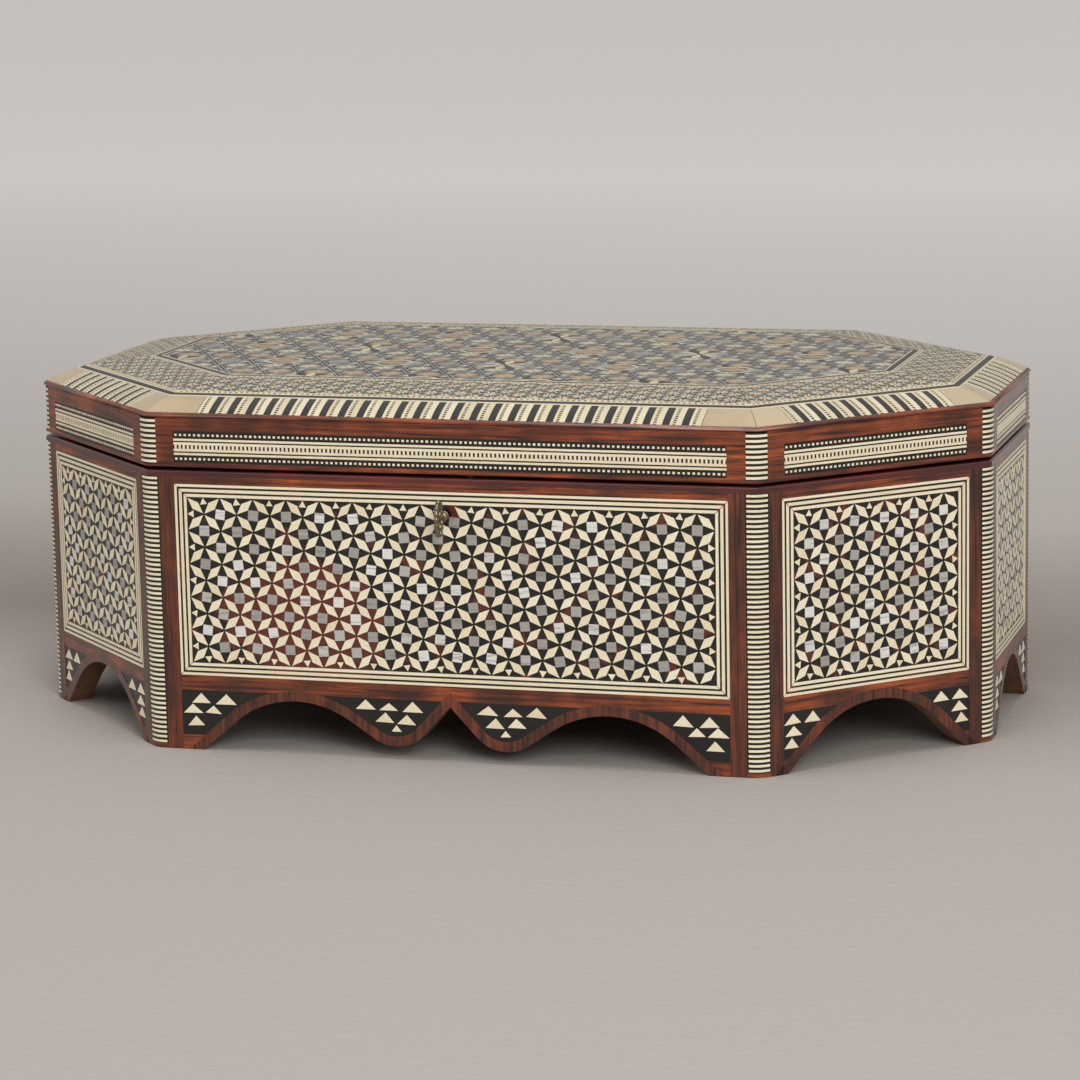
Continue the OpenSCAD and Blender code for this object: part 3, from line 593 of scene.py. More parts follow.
# %% Set the lozenges, squares and wedges
LOZENGE_SHARE = 0.89  # of the diagonal of a cell
LOZENGE_WIDTH = 3.5 * MM
SHELL_SQUARE = (4.1 * MM, 4.05 * MM)
BORDER_WEDGE = 2.9 * MM
HAND_TURN = math.radians(9)
lozenge_meshes, square_meshes, wedge_meshes = [], [], []
for i in range(8):
    lozenges, squares, wedges, diagonal = lattice(i)
    flat = shapes_at(keep_clear(lozenges, i), LOZENGE, cream_bone, diagonal * LOZENGE_SHARE, LOZENGE_WIDTH,
                     11 + i, math.radians(2.2), 0.035)
    lozenge_meshes.append(at_face(chips(flat, cream_bone), i))
    flat = shapes_at(keep_clear(squares, i), SQUARE, nacre_shell, *SHELL_SQUARE, 31 + i, HAND_TURN, 0.05)
    square_meshes.append(at_face(chips(flat, nacre_shell), i))
    flat = shapes_at(wedges, WEDGE, cream_bone, BORDER_WEDGE, BORDER_WEDGE, 51 + i, HAND_TURN, 0.08)
    wedge_meshes.append(at_face(chips(flat, cream_bone), i))
piece("lattice_lozenges", lozenge_meshes, "case")
piece("lattice_shell_squares", square_meshes, "case")
piece("lattice_border_wedges", wedge_meshes, "case")


# %% [markdown]
# ### Stringing
# Three fine lines of bone frame each panel, with black between them, mitred at the corners. A dark hairline
# shows at every mitre, so each side is a piece of its own, cut a touch short.

# %% Draw a mitred frame
def mitred_frame(half_wide, middle, half_high, width, gap):
    """Four flat strips round a rectangle, inside it."""
    a, b = half_wide, half_high
    c, d = a - width, b - width
    g = gap
    low = [(-a + g, -b), (a - g, -b), (c - g, -d), (-c + g, -d)]
    high = [(-a + g, b), (a - g, b), (c - g, d), (-c + g, d)]
    left = [(-a, -b + g), (-a, b - g), (-c, d - g), (-c, -d + g)]
    right = [(a, -b + g), (a, b - g), (c, d - g), (c, -d + g)]
    return [[(x, z + middle) for x, z in strip] for strip in (low, high, left, right)]


string_meshes = []
for i in range(8):
    strips = []
    for start, width in STRINGS:
        strips += mitred_frame(panel_width[i] / 2 - start * MM, panel_middle,
                               panel_height / 2 - start * MM, width * MM, MITRE_GAP)
    string_meshes.append(at_face(chips(outlines(strips), cream_bone), i))
piece("panel_stringing", string_meshes, "case")
refinish([name + "_inlay" for name in FACES], ground)

# %% [markdown]
# ## Striped corners
# Every corner is rounded over and veneered with end-on strips of bone and black wood, one millimetre each.
# A black core runs the whole height, and a stack of bone layers slides over it.

# %% Plan of a corner strip
strips_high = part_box("body_corner_strips")[1]
lid_strips_low, lid_strips_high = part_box("lid_corner_strips")
frame_low, frame_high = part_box("front_frame")
strip_width = (long_face - (frame_high.x - frame_low.x)) / 2
STRIP_ROUND = 7.7 * MM
FACING = 2 * MM
LAYER_PITCH = 1.92 * MM
LAYER_START = 0.24
LAYER_SHARE = 0.49     # bone takes this much of each pitch, black the rest
CORE_BACK = 0.07 * MM  # the black core lies this far behind the bone


def strip_plan(i, shrink):
    """The plan of the strip on the corner at the right-hand end of face i, in the row frame."""
    near, far = face_plan(i), face_plan((i + 1) % 8)
    a, b = face_length[i] / 2, -face_length[(i + 1) % 8] / 2
    w, t = strip_width - shrink, FACING
    reach = STRIP_ROUND * math.tan(math.radians(22.5))
    spots = [near @ Vector((a - w, shrink, 0))]
    centre = near @ Vector((a - reach, STRIP_ROUND, 0))
    out = near.to_3x3() @ Vector((0, -(STRIP_ROUND - shrink), 0))
    for k in range(7):
        spots.append(centre + Matrix.Rotation(math.radians(45 * k / 6), 3, "Z") @ out)
    spots.append(far @ Vector((b + w, shrink, 0)))
    spots.append(far @ Vector((b + w, t, 0)))
    spots.append(near @ Vector((a - t * math.tan(math.radians(22.5)), t, 0)))
    spots.append(near @ Vector((a - w, t, 0)))
    return [(p.x, p.y) for p in spots]


def striped_corners(prefix, body, z_low, z_high, node_name):
    count = int((z_high - z_low) / LAYER_PITCH)
    pitch = (z_high - z_low) / count
    layers, cores = [], []
    for i in range(8):
        values = {"Count": count, "Pitch": pitch, "Thickness": LAYER_SHARE * pitch, "Material": cream_bone}
        bones = run(outlines([strip_plan(i, 0)]), stack, values)
        bones.transform(Matrix.Translation((0, 0, z_low + LAYER_START * pitch)))
        layers.append(bones)
        values = {"Count": 1, "Pitch": 1.0, "Thickness": z_high - z_low, "Material": ebony}
        core = run(outlines([strip_plan(i, CORE_BACK)]), stack, values)
        core.transform(Matrix.Translation((0, 0, z_low)))
        cores.append(core)
    piece(prefix + "_corner_bone_layers", layers, body, smooth=30)
    piece(prefix + "_corner_black_cores", cores, body, [node_name], smooth=30)


SOLE = 1.8 * MM
striped_corners("body", "case", SOLE, strips_high.z, "body_corner_strips")
striped_corners("lid", "lid", lid_strips_low.z, lid_strips_high.z, "lid_corner_strips")
soles = []
for i in range(8):
    values = {"Count": 1, "Pitch": 1.0, "Thickness": SOLE, "Material": level_wood}
    soles.append(run(outlines([strip_plan(i, 0)]), stack, values))
piece("corner_soles", soles, "case", smooth=30)

# %% [markdown]
# ## Facings beside the panels
# The stiles stand upright beside each panel, so their grain does too. They are thin veneers over the frame
# solid. A fine black line separates each one from the striped corner.

# %% Stiles and black lines
stiles, lines = [], []
VENEER = 0.04 * MM       # how far a veneer stands proud of the solid
VENEER_THICK = 0.1 * MM
BLACK_LINE = 0.55 * MM
veneer_top = strips_high.z - 0.1 * MM
for i in range(8):
    outer = face_length[i] / 2 - strip_width
    inner = panel_width[i] / 2
    for side in (-1, 1):
        edge = side * (outer - BLACK_LINE)
        stile = outlines([block(side * inner, edge, 0, veneer_top)])
        line = outlines([block(edge, side * outer, SOLE, veneer_top)])
        stiles.append(at_face(chips(stile, upright_wood, VENEER_THICK), i, -VENEER))
        lines.append(at_face(chips(line, ebony, VENEER_THICK), i, -VENEER))
piece("upright_stiles", stiles, "case")
piece("black_corner_lines", lines, "case")
refinish([name + "_frame" for name in FACES] + ["lid_" + name + "_side" for name in FACES], level_wood)

# %% [markdown]
# ## Apron
# Under each face the board is sawn to a wavy outline. A wooden edging about 4 mm wide, bent or built up from
# short pieces, follows every curve, and the black corners above it carry rows of small bone triangles. The
# outline here follows the same circles and tangents as the solid below it.

# %% The apron's outline
ARCH = {"top": 21.6, "radius": 40.0, "x": 64.0, "flank": 41.0}
LOBE = {"x": 22.5, "z": 5.3, "radius": 16.0, "flank": 47.7}
SHORT = {"top": 24.4, "foot": 12.5, "flank": 44.0}
EDGING = 4.0
ARC_STEPS = 24


def arc(centre, radius, first, last):
    angles = [math.radians(first + (last - first) * k / ARC_STEPS) for k in range(ARC_STEPS + 1)]
    return [(centre[0] + radius * math.cos(a), centre[1] + radius * math.sin(a)) for a in angles]


def long_outline(grow):
    """Half of the outline under a long face in millimetres, from a foot to the notch in the middle."""
    arch = (-ARCH["x"], ARCH["top"] - ARCH["radius"])
    lobe = (-LOBE["x"], LOBE["z"] + LOBE["radius"])
    big, small = ARCH["radius"] + grow, LOBE["radius"] - grow
    dx, dz = lobe[0] - arch[0], lobe[1] - arch[1]
    tangent = math.degrees(math.atan2(dz, dx) + math.acos((big + small) / math.hypot(dx, dz)))
    over = arc(arch, big, 90 + ARCH["flank"], tangent)
    round_lobe = arc(lobe, small, tangent + 180, 270 + LOBE["flank"])
    foot = (over[0][0] - over[0][1] / math.tan(math.radians(ARCH["flank"])), 0.0)
    end = round_lobe[-1]
    notch = (0.0, end[1] - end[0] * math.tan(math.radians(LOBE["flank"])))
    return [foot] + over + round_lobe + [notch]


def short_outline(i, grow):
    slope = math.tan(math.radians(SHORT["flank"]))
    sine, cosine = math.sin(math.radians(SHORT["flank"])), math.cos(math.radians(SHORT["flank"]))
    half_span = face_length[i] / MM / 2 - SHORT["foot"]
    radius = (half_span - SHORT["top"] / slope) / (sine - (1 - cosine) / slope)
    over = arc((0, SHORT["top"] - radius), radius + grow, 90 + SHORT["flank"], 90 - SHORT["flank"])
    foot = over[0][0] - over[0][1] / slope
    return [(foot, 0.0)] + over + [(-foot, 0.0)]


def apron_outline(i, grow):
    if not is_long(i):
        return short_outline(i, grow)
    half = long_outline(grow)
    return half + [(-x, z) for x, z in half[-2::-1]]


# %% Edging along the curves, in short pieces with a hairline between them
PIECE_STEPS = 7
edgings = []
for i in range(8):
    lower, upper = apron_outline(i, 0.0), apron_outline(i, EDGING)
    strips = []
    for start in range(0, len(lower) - 1, PIECE_STEPS):
        stop = min(start + PIECE_STEPS, len(lower) - 1)
        outline = lower[start:stop + 1] + upper[start:stop + 1][::-1]
        strips.append([(x * MM, z * MM) for x, z in outline])
    edgings.append(at_face(chips(outlines(strips), upright_wood, VENEER_THICK), i, -VENEER))
piece("apron_edging", edgings, "case")
refinish(["apron_spandrels"], ebony)

# %% Bone triangles on the black corners
# Each row gives the middle, the base, the width and the height of one triangle, in millimetres. On a short
# face the middle is measured from its left end.
FOOT_ROWS = [(-104.2, 19.0, 7.8, 4.0), (-93.6, 18.9, 8.4, 4.4), (-107.6, 15.0, 8.2, 3.8),
             (-99.1, 15.1, 6.6, 3.3), (-106.4, 9.9, 7.4, 4.0)]
LOBE_ROWS = [(-35.0, 19.6, 8.6, 4.0), (-25.5, 19.5, 7.5, 3.3), (-15.4, 19.6, 8.6, 4.0),
             (-27.0, 14.9, 7.6, 4.0), (-18.2, 14.5, 7.6, 4.0), (-22.3, 11.2, 4.5, 2.7)]
SHORT_ROWS = [(14.9, 19.4, 7.6, 4.0), (24.0, 19.4, 7.6, 4.0), (15.3, 14.6, 7.4, 3.9), (14.4, 9.9, 6.4, 4.0)]
HAND_CUT = 0.25  # how far a corner strays


def triangle(x, base, width, height, wobble):
    shift = [wobble.uniform(-HAND_CUT, HAND_CUT) for _ in range(6)]
    corners = [(x - width / 2, base), (x + width / 2, base), (x, base + height)]
    return [((a + shift[2 * k]) * MM, (b + shift[2 * k + 1]) * MM) for k, (a, b) in enumerate(corners)]


wobble = random.Random(5)
triangle_meshes = []
for i in range(8):
    half_face = face_length[i] / MM / 2
    rows = FOOT_ROWS + LOBE_ROWS if is_long(i) else [(a - half_face, *rest) for a, *rest in SHORT_ROWS]
    shapes = [triangle(side * x, base, width, height, wobble) for side in (1, -1) for x, base, width,
              height in rows]
    triangle_meshes.append(at_face(chips(outlines(shapes), cream_bone), i))
piece("apron_bone_triangles", triangle_meshes, "case")

# %% [markdown]
# ## Bands on the lid's sides
# A band runs along each side of the lid: two rows of white dots on black, then bone lines, and a ladder of
# bone and black rungs in the middle. From the top down, each line below gives its height and what it is.

# %% Lay the bands
BAND = [(2.9, "dots"), (0.95, "line"), (0.5, None), (1.1, "line"), (1.5, "ladder"), (1.1, "line"),
        (0.5, None), (0.95, "line"), (2.9, "dots")]
DOT_PITCH, RUNG_PITCH = 1.95, 1.72
BAND_SHORT = 12 * MM  # the band stops this far from each corner
LINE_GAP = 0.04 * MM
bands_low, bands_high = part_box("lid_side_bands")
band_height = bands_high.z - bands_low.z
stretch = band_height / (sum(h for h, _ in BAND) * MM)
line_meshes, dot_meshes = [], []
for i in range(8):
    half = face_length[i] / 2 - BAND_SHORT
    top = bands_high.z
    for height, what in BAND:
        tall = height * MM * stretch
        middle = top - tall / 2
        top -= tall
        if what == "line":
            strip = block(-half, half, middle - tall / 2 + LINE_GAP, middle + tall / 2 - LINE_GAP)
            line_meshes.append(at_face(chips(outlines([strip]), cream_bone), i))
        if what in ("dots", "ladder"):
            pitch = (DOT_PITCH if what == "dots" else RUNG_PITCH) * MM
            count = int(2 * half / pitch)
            places = [((k + 0.5) * 2 * half / count - half, middle, 0.0) for k in range(count)]
            length = 0.95 * MM if what == "dots" else 0.9 * MM
            width = 0.85 * MM if what == "dots" else tall
            uneven = 0.1 if what == "dots" else 0.0
            flat = shapes_at(places, SQUARE, cream_bone, length, width, 70 + i, math.radians(4), uneven)
            dot_meshes.append(at_face(chips(flat, cream_bone), i))
piece("lid_band_lines", line_meshes, "lid")
piece("lid_band_dots", dot_meshes, "lid")
refinish(["lid_side_bands"], ebony)

# %% [markdown]
# ## The lid's top
# Black lacquered ground covers the whole crown, with its edge rounded over. Rings of quads at set distances
# from the edge give it its curve. The chips that lie near the edge are long and would cut across the curve,
# so they are sliced at the same distances before they are lifted.

# %% The ground sheet
GROUND_DROP = 0.14 * MM
EDGE_DROP = 0.02 * MM
RINGS = [0.0, 0.35, 0.8, 1.4, 2.2, 3.2, 4.5, 6, 8, 10.5, 13, 16, 19, 23, 28, 34, 40, 45.5, 54, 65, 80, 100]
NOSE = [(0.0, -1.1), (0.0, -0.5), (0.15, -0.2), (0.45, 0.06)]
EDGE_WIDTH = 1.0
SKIRT = 1.1 * MM  # how far the edge goes down over the sides


def ring_sheet(profile, material, capped):
    """Rings of eight points at each (inset, height), joined. The ends are capped, or joined to each other."""
    made = bmesh.new()
    rings = [[made.verts.new((x, centre_y + y, z)) for x, y in octagon(d)] for d, z in profile]
    for low, high in zip(rings, rings[1:]):
        for k in range(8):
            made.faces.new([low[k], low[(k + 1) % 8], high[(k + 1) % 8], high[k]])
    if capped:
        made.faces.new(rings[0][::-1])
        made.faces.new(rings[-1])
    else:
        for k in range(8):
            made.faces.new([rings[-1][k], rings[-1][(k + 1) % 8], rings[0][(k + 1) % 8], rings[0][k]])
    bmesh.ops.recalc_face_normals(made, faces=made.faces)
    mesh = bpy.data.meshes.new("sheet")
    made.to_mesh(mesh)
    made.free()
    mesh.materials.append(material)
    return mesh


profile = [(0.4 * MM, edge_z - SKIRT)]
profile += [(d * MM, crown(d * MM) - GROUND_DROP) for d in RINGS[2:]]
piece("lid_ground", [ring_sheet(profile, lid_ebony, True)], "lid",
      ["lid_border", "lid_mosaic_band", "lid_star_panel"], smooth=20)
profile = [(d * MM, edge_z + z * MM) for d, z in NOSE]
profile += [(EDGE_WIDTH * MM, crown(EDGE_WIDTH * MM) - EDGE_DROP), (EDGE_WIDTH * MM, edge_z - SKIRT)]
piece("lid_wooden_edge", [ring_sheet(profile, level_wood, False)], "lid", smooth=50)


# %% Slice flat chips at the rings, and bring them onto the crown
def sliced(mesh, insets):
    """Cuts a mesh drawn in the frame of a face, y inward, at each inset."""
    cut = bmesh.new()
    cut.from_mesh(mesh)
    for d in insets:
        parts = cut.verts[:] + cut.edges[:] + cut.faces[:]
        bmesh.ops.bisect_plane(cut, geom=parts, plane_co=(0, d * MM, 0), plane_no=(0, 1, 0), dist=1e-7)
    cut.to_mesh(mesh)
    cut.free()
    return mesh


def trimmed(mesh, corners):
    """Keeps what lies inside a convex outline, given anticlockwise."""
    cut = bmesh.new()
    cut.from_mesh(mesh)
    for a, b in zip(corners, corners[1:] + corners[:1]):
        parts = cut.verts[:] + cut.edges[:] + cut.faces[:]
        outward = (b[1] - a[1], a[0] - b[0], 0)
        bmesh.ops.bisect_plane(cut, geom=parts, plane_co=(a[0], a[1], 0), plane_no=outward,
                               clear_outer=True, dist=1e-7)
    cut.to_mesh(mesh)
    cut.free()
    return mesh


STEEP = 12  # only the first rings lie where the crown is curved enough to need a cut


def laid_on_lid(layout, i, material):
    """A flat layout in the frame of face i, made solid, sliced and lifted onto the crown."""
    solid = sliced(chips(layout, material), RINGS[1:STEEP])
    solid.transform(face_plan(i))
    return onto_crown(solid, material)


# %% [markdown]
# ### Keyed border
# Bone plates separated by black bars run round the edge like the keys of a piano, and plain plaques close
# the corners. Each plate is two strips of bone, and a column of tiny bone dots stands in the black between.

# %% Keys and plaques
KEY_PITCH, BAR = 7.79, 3.0
KEY_FROM, KEY_TO = 1.1, 12.9
CORNER_PLAQUE = {0: 22.0, 4: 22.0, 2: 13.0, 6: 13.0}
SIDE_STRIP, COLUMN_AT, STRIP_AFTER = 1.15, 1.75, 2.35  # across a plate
COLUMN_DOTS, COLUMN_PITCH = 9, 1.32
plate_meshes, dot_meshes, plaque_meshes = [], [], []
TAN_EIGHTH = math.tan(math.radians(22.5))
for i in range(8):
    half = face_length[i] / MM / 2
    plaque = CORNER_PLAQUE.get(i, 17.0)
    room = 2 * (half - plaque)
    count = round((room + BAR) / KEY_PITCH)
    pitch = (room + BAR) / count
    plates, dots = [], []
    for k in range(count):
        x = -half + plaque + k * pitch
        wide = pitch - BAR
        plates.append(block(x, x + SIDE_STRIP, KEY_FROM, KEY_TO))
        plates.append(block(x + STRIP_AFTER, x + wide, KEY_FROM, KEY_TO))
        dots += [(x + COLUMN_AT, KEY_FROM + 0.65 + COLUMN_PITCH * n, 0.0) for n in range(COLUMN_DOTS)]
    plates = [[(x * MM, y * MM) for x, y in outline] for outline in plates]
    plate_meshes.append(laid_on_lid(outlines(plates), i, lid_bone))
    places = [(x * MM, y * MM, t) for x, y, t in dots]
    flat = shapes_at(places, SQUARE, lid_bone, 1.1 * MM, 0.42 * MM, 90 + i, 0.04, 0.1)
    dot_meshes.append(laid_on_lid(flat, i, lid_bone))
    ends = []
    for side in (-1, 1):
        start = side * (half - plaque + 0.25)
        far, near = side * (half - KEY_FROM * TAN_EIGHTH - 0.1), side * (half - KEY_TO * TAN_EIGHTH - 0.1)
        ends.append([(start * MM, KEY_FROM * MM), (far * MM, KEY_FROM * MM), (near * MM, KEY_TO * MM),
                     (start * MM, KEY_TO * MM)])
    plaque_meshes.append(laid_on_lid(outlines(ends), i, aged_bone))
piece("border_key_plates", plate_meshes, "lid")
piece("border_key_dots", dot_meshes, "lid")
piece("border_corner_plaques", plaque_meshes, "lid")


# %% Lines round the lid
def ring_strips(start, stop, gap=0.0):
    """Eight flat strips between two insets, one in the frame of each face."""
    made = []
    for i in range(8):
        half = face_length[i] / MM / 2
        near, far = half - start * TAN_EIGHTH - gap, half - stop * TAN_EIGHTH - gap
        outline = [(-near, start), (near, start), (far, stop), (-far, stop)]
        made.append([(x * MM, y * MM) for x, y in outline])
    return made


# The first strip, a cream bone line from 12.95 to 13.85 mm in, is a painted highlight: it stands where a line
# of light shows just inside the keys.
for name, start, stop, material in (
        ("border_painted_highlight_line", 12.95, 13.85, lid_bone), ("dotted_line_outer", 16.2, 18.5, lid_bone),
        ("dotted_line_inner", 41.0, 43.2, lid_bone), ("field_outer_line", 45.6, 46.3, lid_bone)):
    meshes = [laid_on_lid(outlines([strip]), i, material) for i,
              strip in enumerate(ring_strips(start, stop))]
    piece(name, meshes, "lid")
red_meshes = []
RED_PITCH, RED_PROUD = 2.3, 0.03 * MM
for i in range(8):
    for middle in (17.35, 42.1):
        half = face_length[i] / MM / 2 - middle * TAN_EIGHTH - 1
        count = int(2 * half / RED_PITCH)
        places = [(((k + 0.5) * 2 * half / count - half) * MM, middle * MM, 0.0) for k in range(count)]
        flat = shapes_at(places, SQUARE, dot_wood, 0.95 * MM, 0.9 * MM, 110 + i, 0.08, 0.12)
        solid = laid_on_lid(flat, i, dot_wood)
        solid.transform(Matrix.Translation((0, 0, RED_PROUD)))
        red_meshes.append(solid)
piece("red_dots", red_meshes, "lid")

# %% [markdown]
# ### Micro-mosaic band
# Inside the border runs a band of the smallest work: rosettes of six bone lozenges no longer than 3 mm, six
# black ones between them, and little tan and green hexagons in the gaps. It is drawn on a triangular grid
# for each side on its own and trimmed to that side's mitred strip.

# %% Rosettes on a triangular grid
BAND_FROM, BAND_TO = 18.7, 40.8
ROSETTE = 6.93


def triangular(pitch, x_reach, y_reach, upright):
    """Points of a triangular grid. With upright set, neighbours stand above each other."""
    dx, dy = (pitch * math.sqrt(3) / 2, pitch) if upright else (pitch, pitch * math.sqrt(3) / 2)
    found = []
    for a in range(-int(x_reach / dx) - 1, int(x_reach / dx) + 2):
        for b in range(-int(y_reach / dy) - 1, int(y_reach / dy) + 2):
            x = a * dx if upright else (a + 0.5 * (b % 2)) * dx
            y = (b + 0.5 * (a % 2)) * dy if upright else b * dy
            found.append((x, y))
    return found


def around(centres, count, radius, first):
    """Places on a ring round each centre, turned to point outwards."""
    found = []
    for x, y in centres:
        for k in range(count):
            angle = math.radians(first + 360 * k / count)
            found.append((x + radius * math.cos(angle), y + radius * math.sin(angle), angle))
    return found


def in_metres(places, y_offset):
    return [(x * MM, (y + y_offset) * MM, t) for x, y, t in places]


mosaic = {"white": [], "tan": [], "green": [], "grey": []}
for i in range(8):
    half = face_length[i] / MM / 2
    middle = (BAND_FROM + BAND_TO) / 2
    centres = triangular(ROSETTE, half, 13, True)
    holes = [(x + ROSETTE / math.sqrt(3), y, 0.0) for x, y in centres]
    others = [(x - ROSETTE / math.sqrt(3), y, 0.0) for x, y in centres]
    corners = ring_strips(BAND_FROM, BAND_TO, 0.2)[i]
    for key, places, shape, length, width, material in (
            ("white", around(centres, 6, 1.62, 0), LOZENGE, 2.75, 1.0, lid_bone),
            ("grey", around(centres, 6, 2.35, 30), LOZENGE, 1.9, 0.9, lid_shell),
            ("tan", holes, HEXAGON, 1.9, 1.9, tan_wood),
            ("green", others, HEXAGON, 1.7, 1.7, green_wood)):
        flat = shapes_at(in_metres(places, middle), shape, material, length * MM, width * MM, 130 + i, 0.06,
                         0.08)
        mosaic[key].append(laid_on_lid(trimmed(flat, corners), i, material))
for key, meshes in mosaic.items():
    piece("mosaic_" + key + "_chips", meshes, "lid")

# %% [markdown]
# ### Star field
# The middle of the lid is a woven strapwork. Straps run in three directions, equally spaced, so that they
# leave hexagons with triangles between them. Each strap passes over one of its neighbours and under the
# other: a strap's piece sits on the crossing where it is on top, and stops at the two beside it. Bright
# six-petalled stars stand on a wide triangular grid, and round bordered medallions at the middles of its
# triangles.

# %% Straps and what lies between them
STRAP_STEP = 13.717
EDGE = STRAP_STEP / math.sqrt(3)  # half the width of a cell over its corners
STRAP = 3.5
STRAP_LINE = 0.85  # each strap is two lines, this far from its middle
FIELD_INSET = 46.0
FIRST_STAR = 71.25
field_corners = [(x, y + centre_y) for x, y in octagon(46.6 * MM)]
x_reach, y_reach = half_length / MM - FIELD_INSET, half_depth / MM - FIELD_INSET
cells = triangular(2 * EDGE, x_reach + 10, y_reach + 10, False)
stars = [(x + FIRST_STAR, y) for x, y in triangular(6 * EDGE * math.sqrt(3), 260, 130, True)]
stars = [(x, y) for x, y in stars if abs(x) < x_reach + 15 and abs(y) < y_reach + 15]
medallions = [(x + s * 6 * EDGE, y) for x, y in stars for s in (-1, 1)]
medallions = sorted({(round(x, 2), round(y, 2)) for x, y in medallions})
print(f"{len(cells)} cells, {len(stars)} stars, {len(medallions)} medallions")


def near_any(x, y, spots, radius):
    return any(math.hypot(x - a, y - b) < radius for a, b in spots)


def on_field(places, shape, length, width, seed, material):
    """Flat shapes about the box's centre, trimmed to the field, made solid and lifted."""
    flat = shapes_at([(x * MM, y * MM + centre_y, t) for x, y, t in places], shape, material,
                     length * MM, width * MM, seed)
    solid = chips(trimmed(flat, field_corners), material)
    return onto_crown(solid, material)


crossings = []
for x, y in cells:
    for k in range(3):
        angle = math.radians(60 * k)
        crossings.append((x + EDGE * math.cos(angle), y + EDGE * math.sin(angle), angle + math.radians(60)))
open_crossings = [c for c in crossings if not near_any(c[0], c[1], stars, 9) and
                  not near_any(c[0], c[1], medallions, 8.5)]
for name, shift in (("left", -STRAP_LINE), ("right", STRAP_LINE)):
    lines = [(x - shift * math.sin(t), y + shift * math.cos(t), t) for x, y, t in open_crossings]
    piece("field_strap_" + name, [on_field(lines, SQUARE, 2 * EDGE - STRAP * 1.2, 0.75, 201, lid_shell)],
          "lid")
open_cells = [(x, y) for x, y in cells if not near_any(x, y, stars, 3) and not near_any(x, y, medallions,
                                                                                        3)]
for k, (name, material) in enumerate((("bone", lid_bone), ("shell", lid_shell), ("cream", aged_bone))):
    own = open_cells[k::3]
    piece("field_" + name + "_rosettes",
          [on_field(around(own, 6, 2.35, 30), LOZENGE, 4.3, 1.75, 210 + k, material)],
          "lid")
GROUND_CELL = STRAP_STEP - STRAP - 0.9
for k, (name, material) in enumerate((("shell", lid_shell), ("tan", tan_wood), ("green", green_wood))):
    own = [(x, y, 0.0) for x, y in open_cells[(k + 1) % 3::3]]
    mesh = on_field(own, HEXAGON, GROUND_CELL, GROUND_CELL, 212 + k, material)
    mesh.transform(Matrix.Translation((0, 0, -0.06 * MM)))
    piece("field_" + name + "_cells", [mesh], "lid")
for name, first, material in (("tan", 0, tan_wood), ("green", 60, green_wood)):
    wedges = [(x, y, t + math.pi) for x, y, t in around(open_cells, 3, 3.75, first)]
    piece("field_" + name + "_wedges", [on_field(wedges, WEDGE, 1.9, 2.6, 214, material)], "lid")
corners = around(cells, 2, 2 * EDGE / math.sqrt(3), 30)
open_corners = [c for c in corners if not near_any(c[0], c[1], stars, 10) and
                not near_any(c[0], c[1], medallions, 8)]
piece("field_bone_triangles", [on_field(open_corners, WEDGE, 3.0, 3.0, 220, lid_bone)], "lid")
petals = around(stars, 6, 6.6, 30)
piece("star_petals", [on_field(petals, LOZENGE, 11.2, 4.0, 230, lid_bone)], "lid")
rims = [(x, y, t + math.pi / 2) for x, y, t in around(medallions, 12, 7.4, 15)]
piece("medallion_rims", [on_field(rims, SQUARE, 3.75, 1.5, 240, lid_bone)], "lid")
piece("medallion_hearts", [on_field([(x, y, 0.0) for x, y in medallions], HEXAGON, 8.6, 8.6, 250,
                                    tan_wood)],
      "lid")

# %% [markdown]
# ## Metal
# Hinges are plain cast brass, dulled by years of handling. The lock's parts are dull sheet steel. The key is
# a grey, worn casting.


# %% Metals
def metal(name, pale, deep, rough):
    made, tree, shader = new_material(name)
    place = node(tree, "ShaderNodeTexCoord").outputs["Object"]
    wear = node(tree, "ShaderNodeTexNoise", {"Vector": place, "Scale": 320.0, "Detail": 5.0})
    colour = node(tree, "ShaderNodeMix", {0: wear.outputs[0], 6: srgb(pale), 7: srgb(deep)},
                  data_type="RGBA")
    dull = node(tree, "ShaderNodeMapRange", {"Value": wear.outputs[0], "From Min": 0.3, "From Max": 0.7,
                                             "To Min": rough - 0.1, "To Max": rough + 0.12})
    bump = node(tree, "ShaderNodeBump",
                {"Height": wear.outputs[0], "Strength": 0.25, "Distance": 0.08 * MM})
    tree.links.new(dull.outputs[0], shader.inputs["Roughness"])
    surface(tree, shader, colour, bump, Metallic=1.0)
    return made


hinge_brass = metal("Dulled_cast_brass", "#b8964c", "#7d6430", 0.35)
lock_steel = metal("Dull_sheet_steel", "#8b8880", "#5e5b55", 0.4)
key_metal = metal("Worn_grey_cast_brass", "#a89c85", "#5d5443", 0.36)
refinish([side + "_hinge_" + part for side in ("left", "right") for part in ("body_leaf", "lid_leaf",
                                                                             "pin")],
         hinge_brass)
refinish(["lock_case", "lock_bolt", "lock_cam", "link_plate", "lock_screws", "link_screws",
          "hinge_body_screws", "hinge_lid_screws"], lock_steel)
refinish(["body_rim"], red_wood)

# %% [markdown]
# ### The key
# A small cast key with an openwork bow: a beaded oval ring with a scroll on each side of a middle bar, a
# moulded collar, a round shank and a plain bit. A tube swept along a path makes the ring, the scrolls and the
# shank, with its radius swelling and shrinking for the beads.


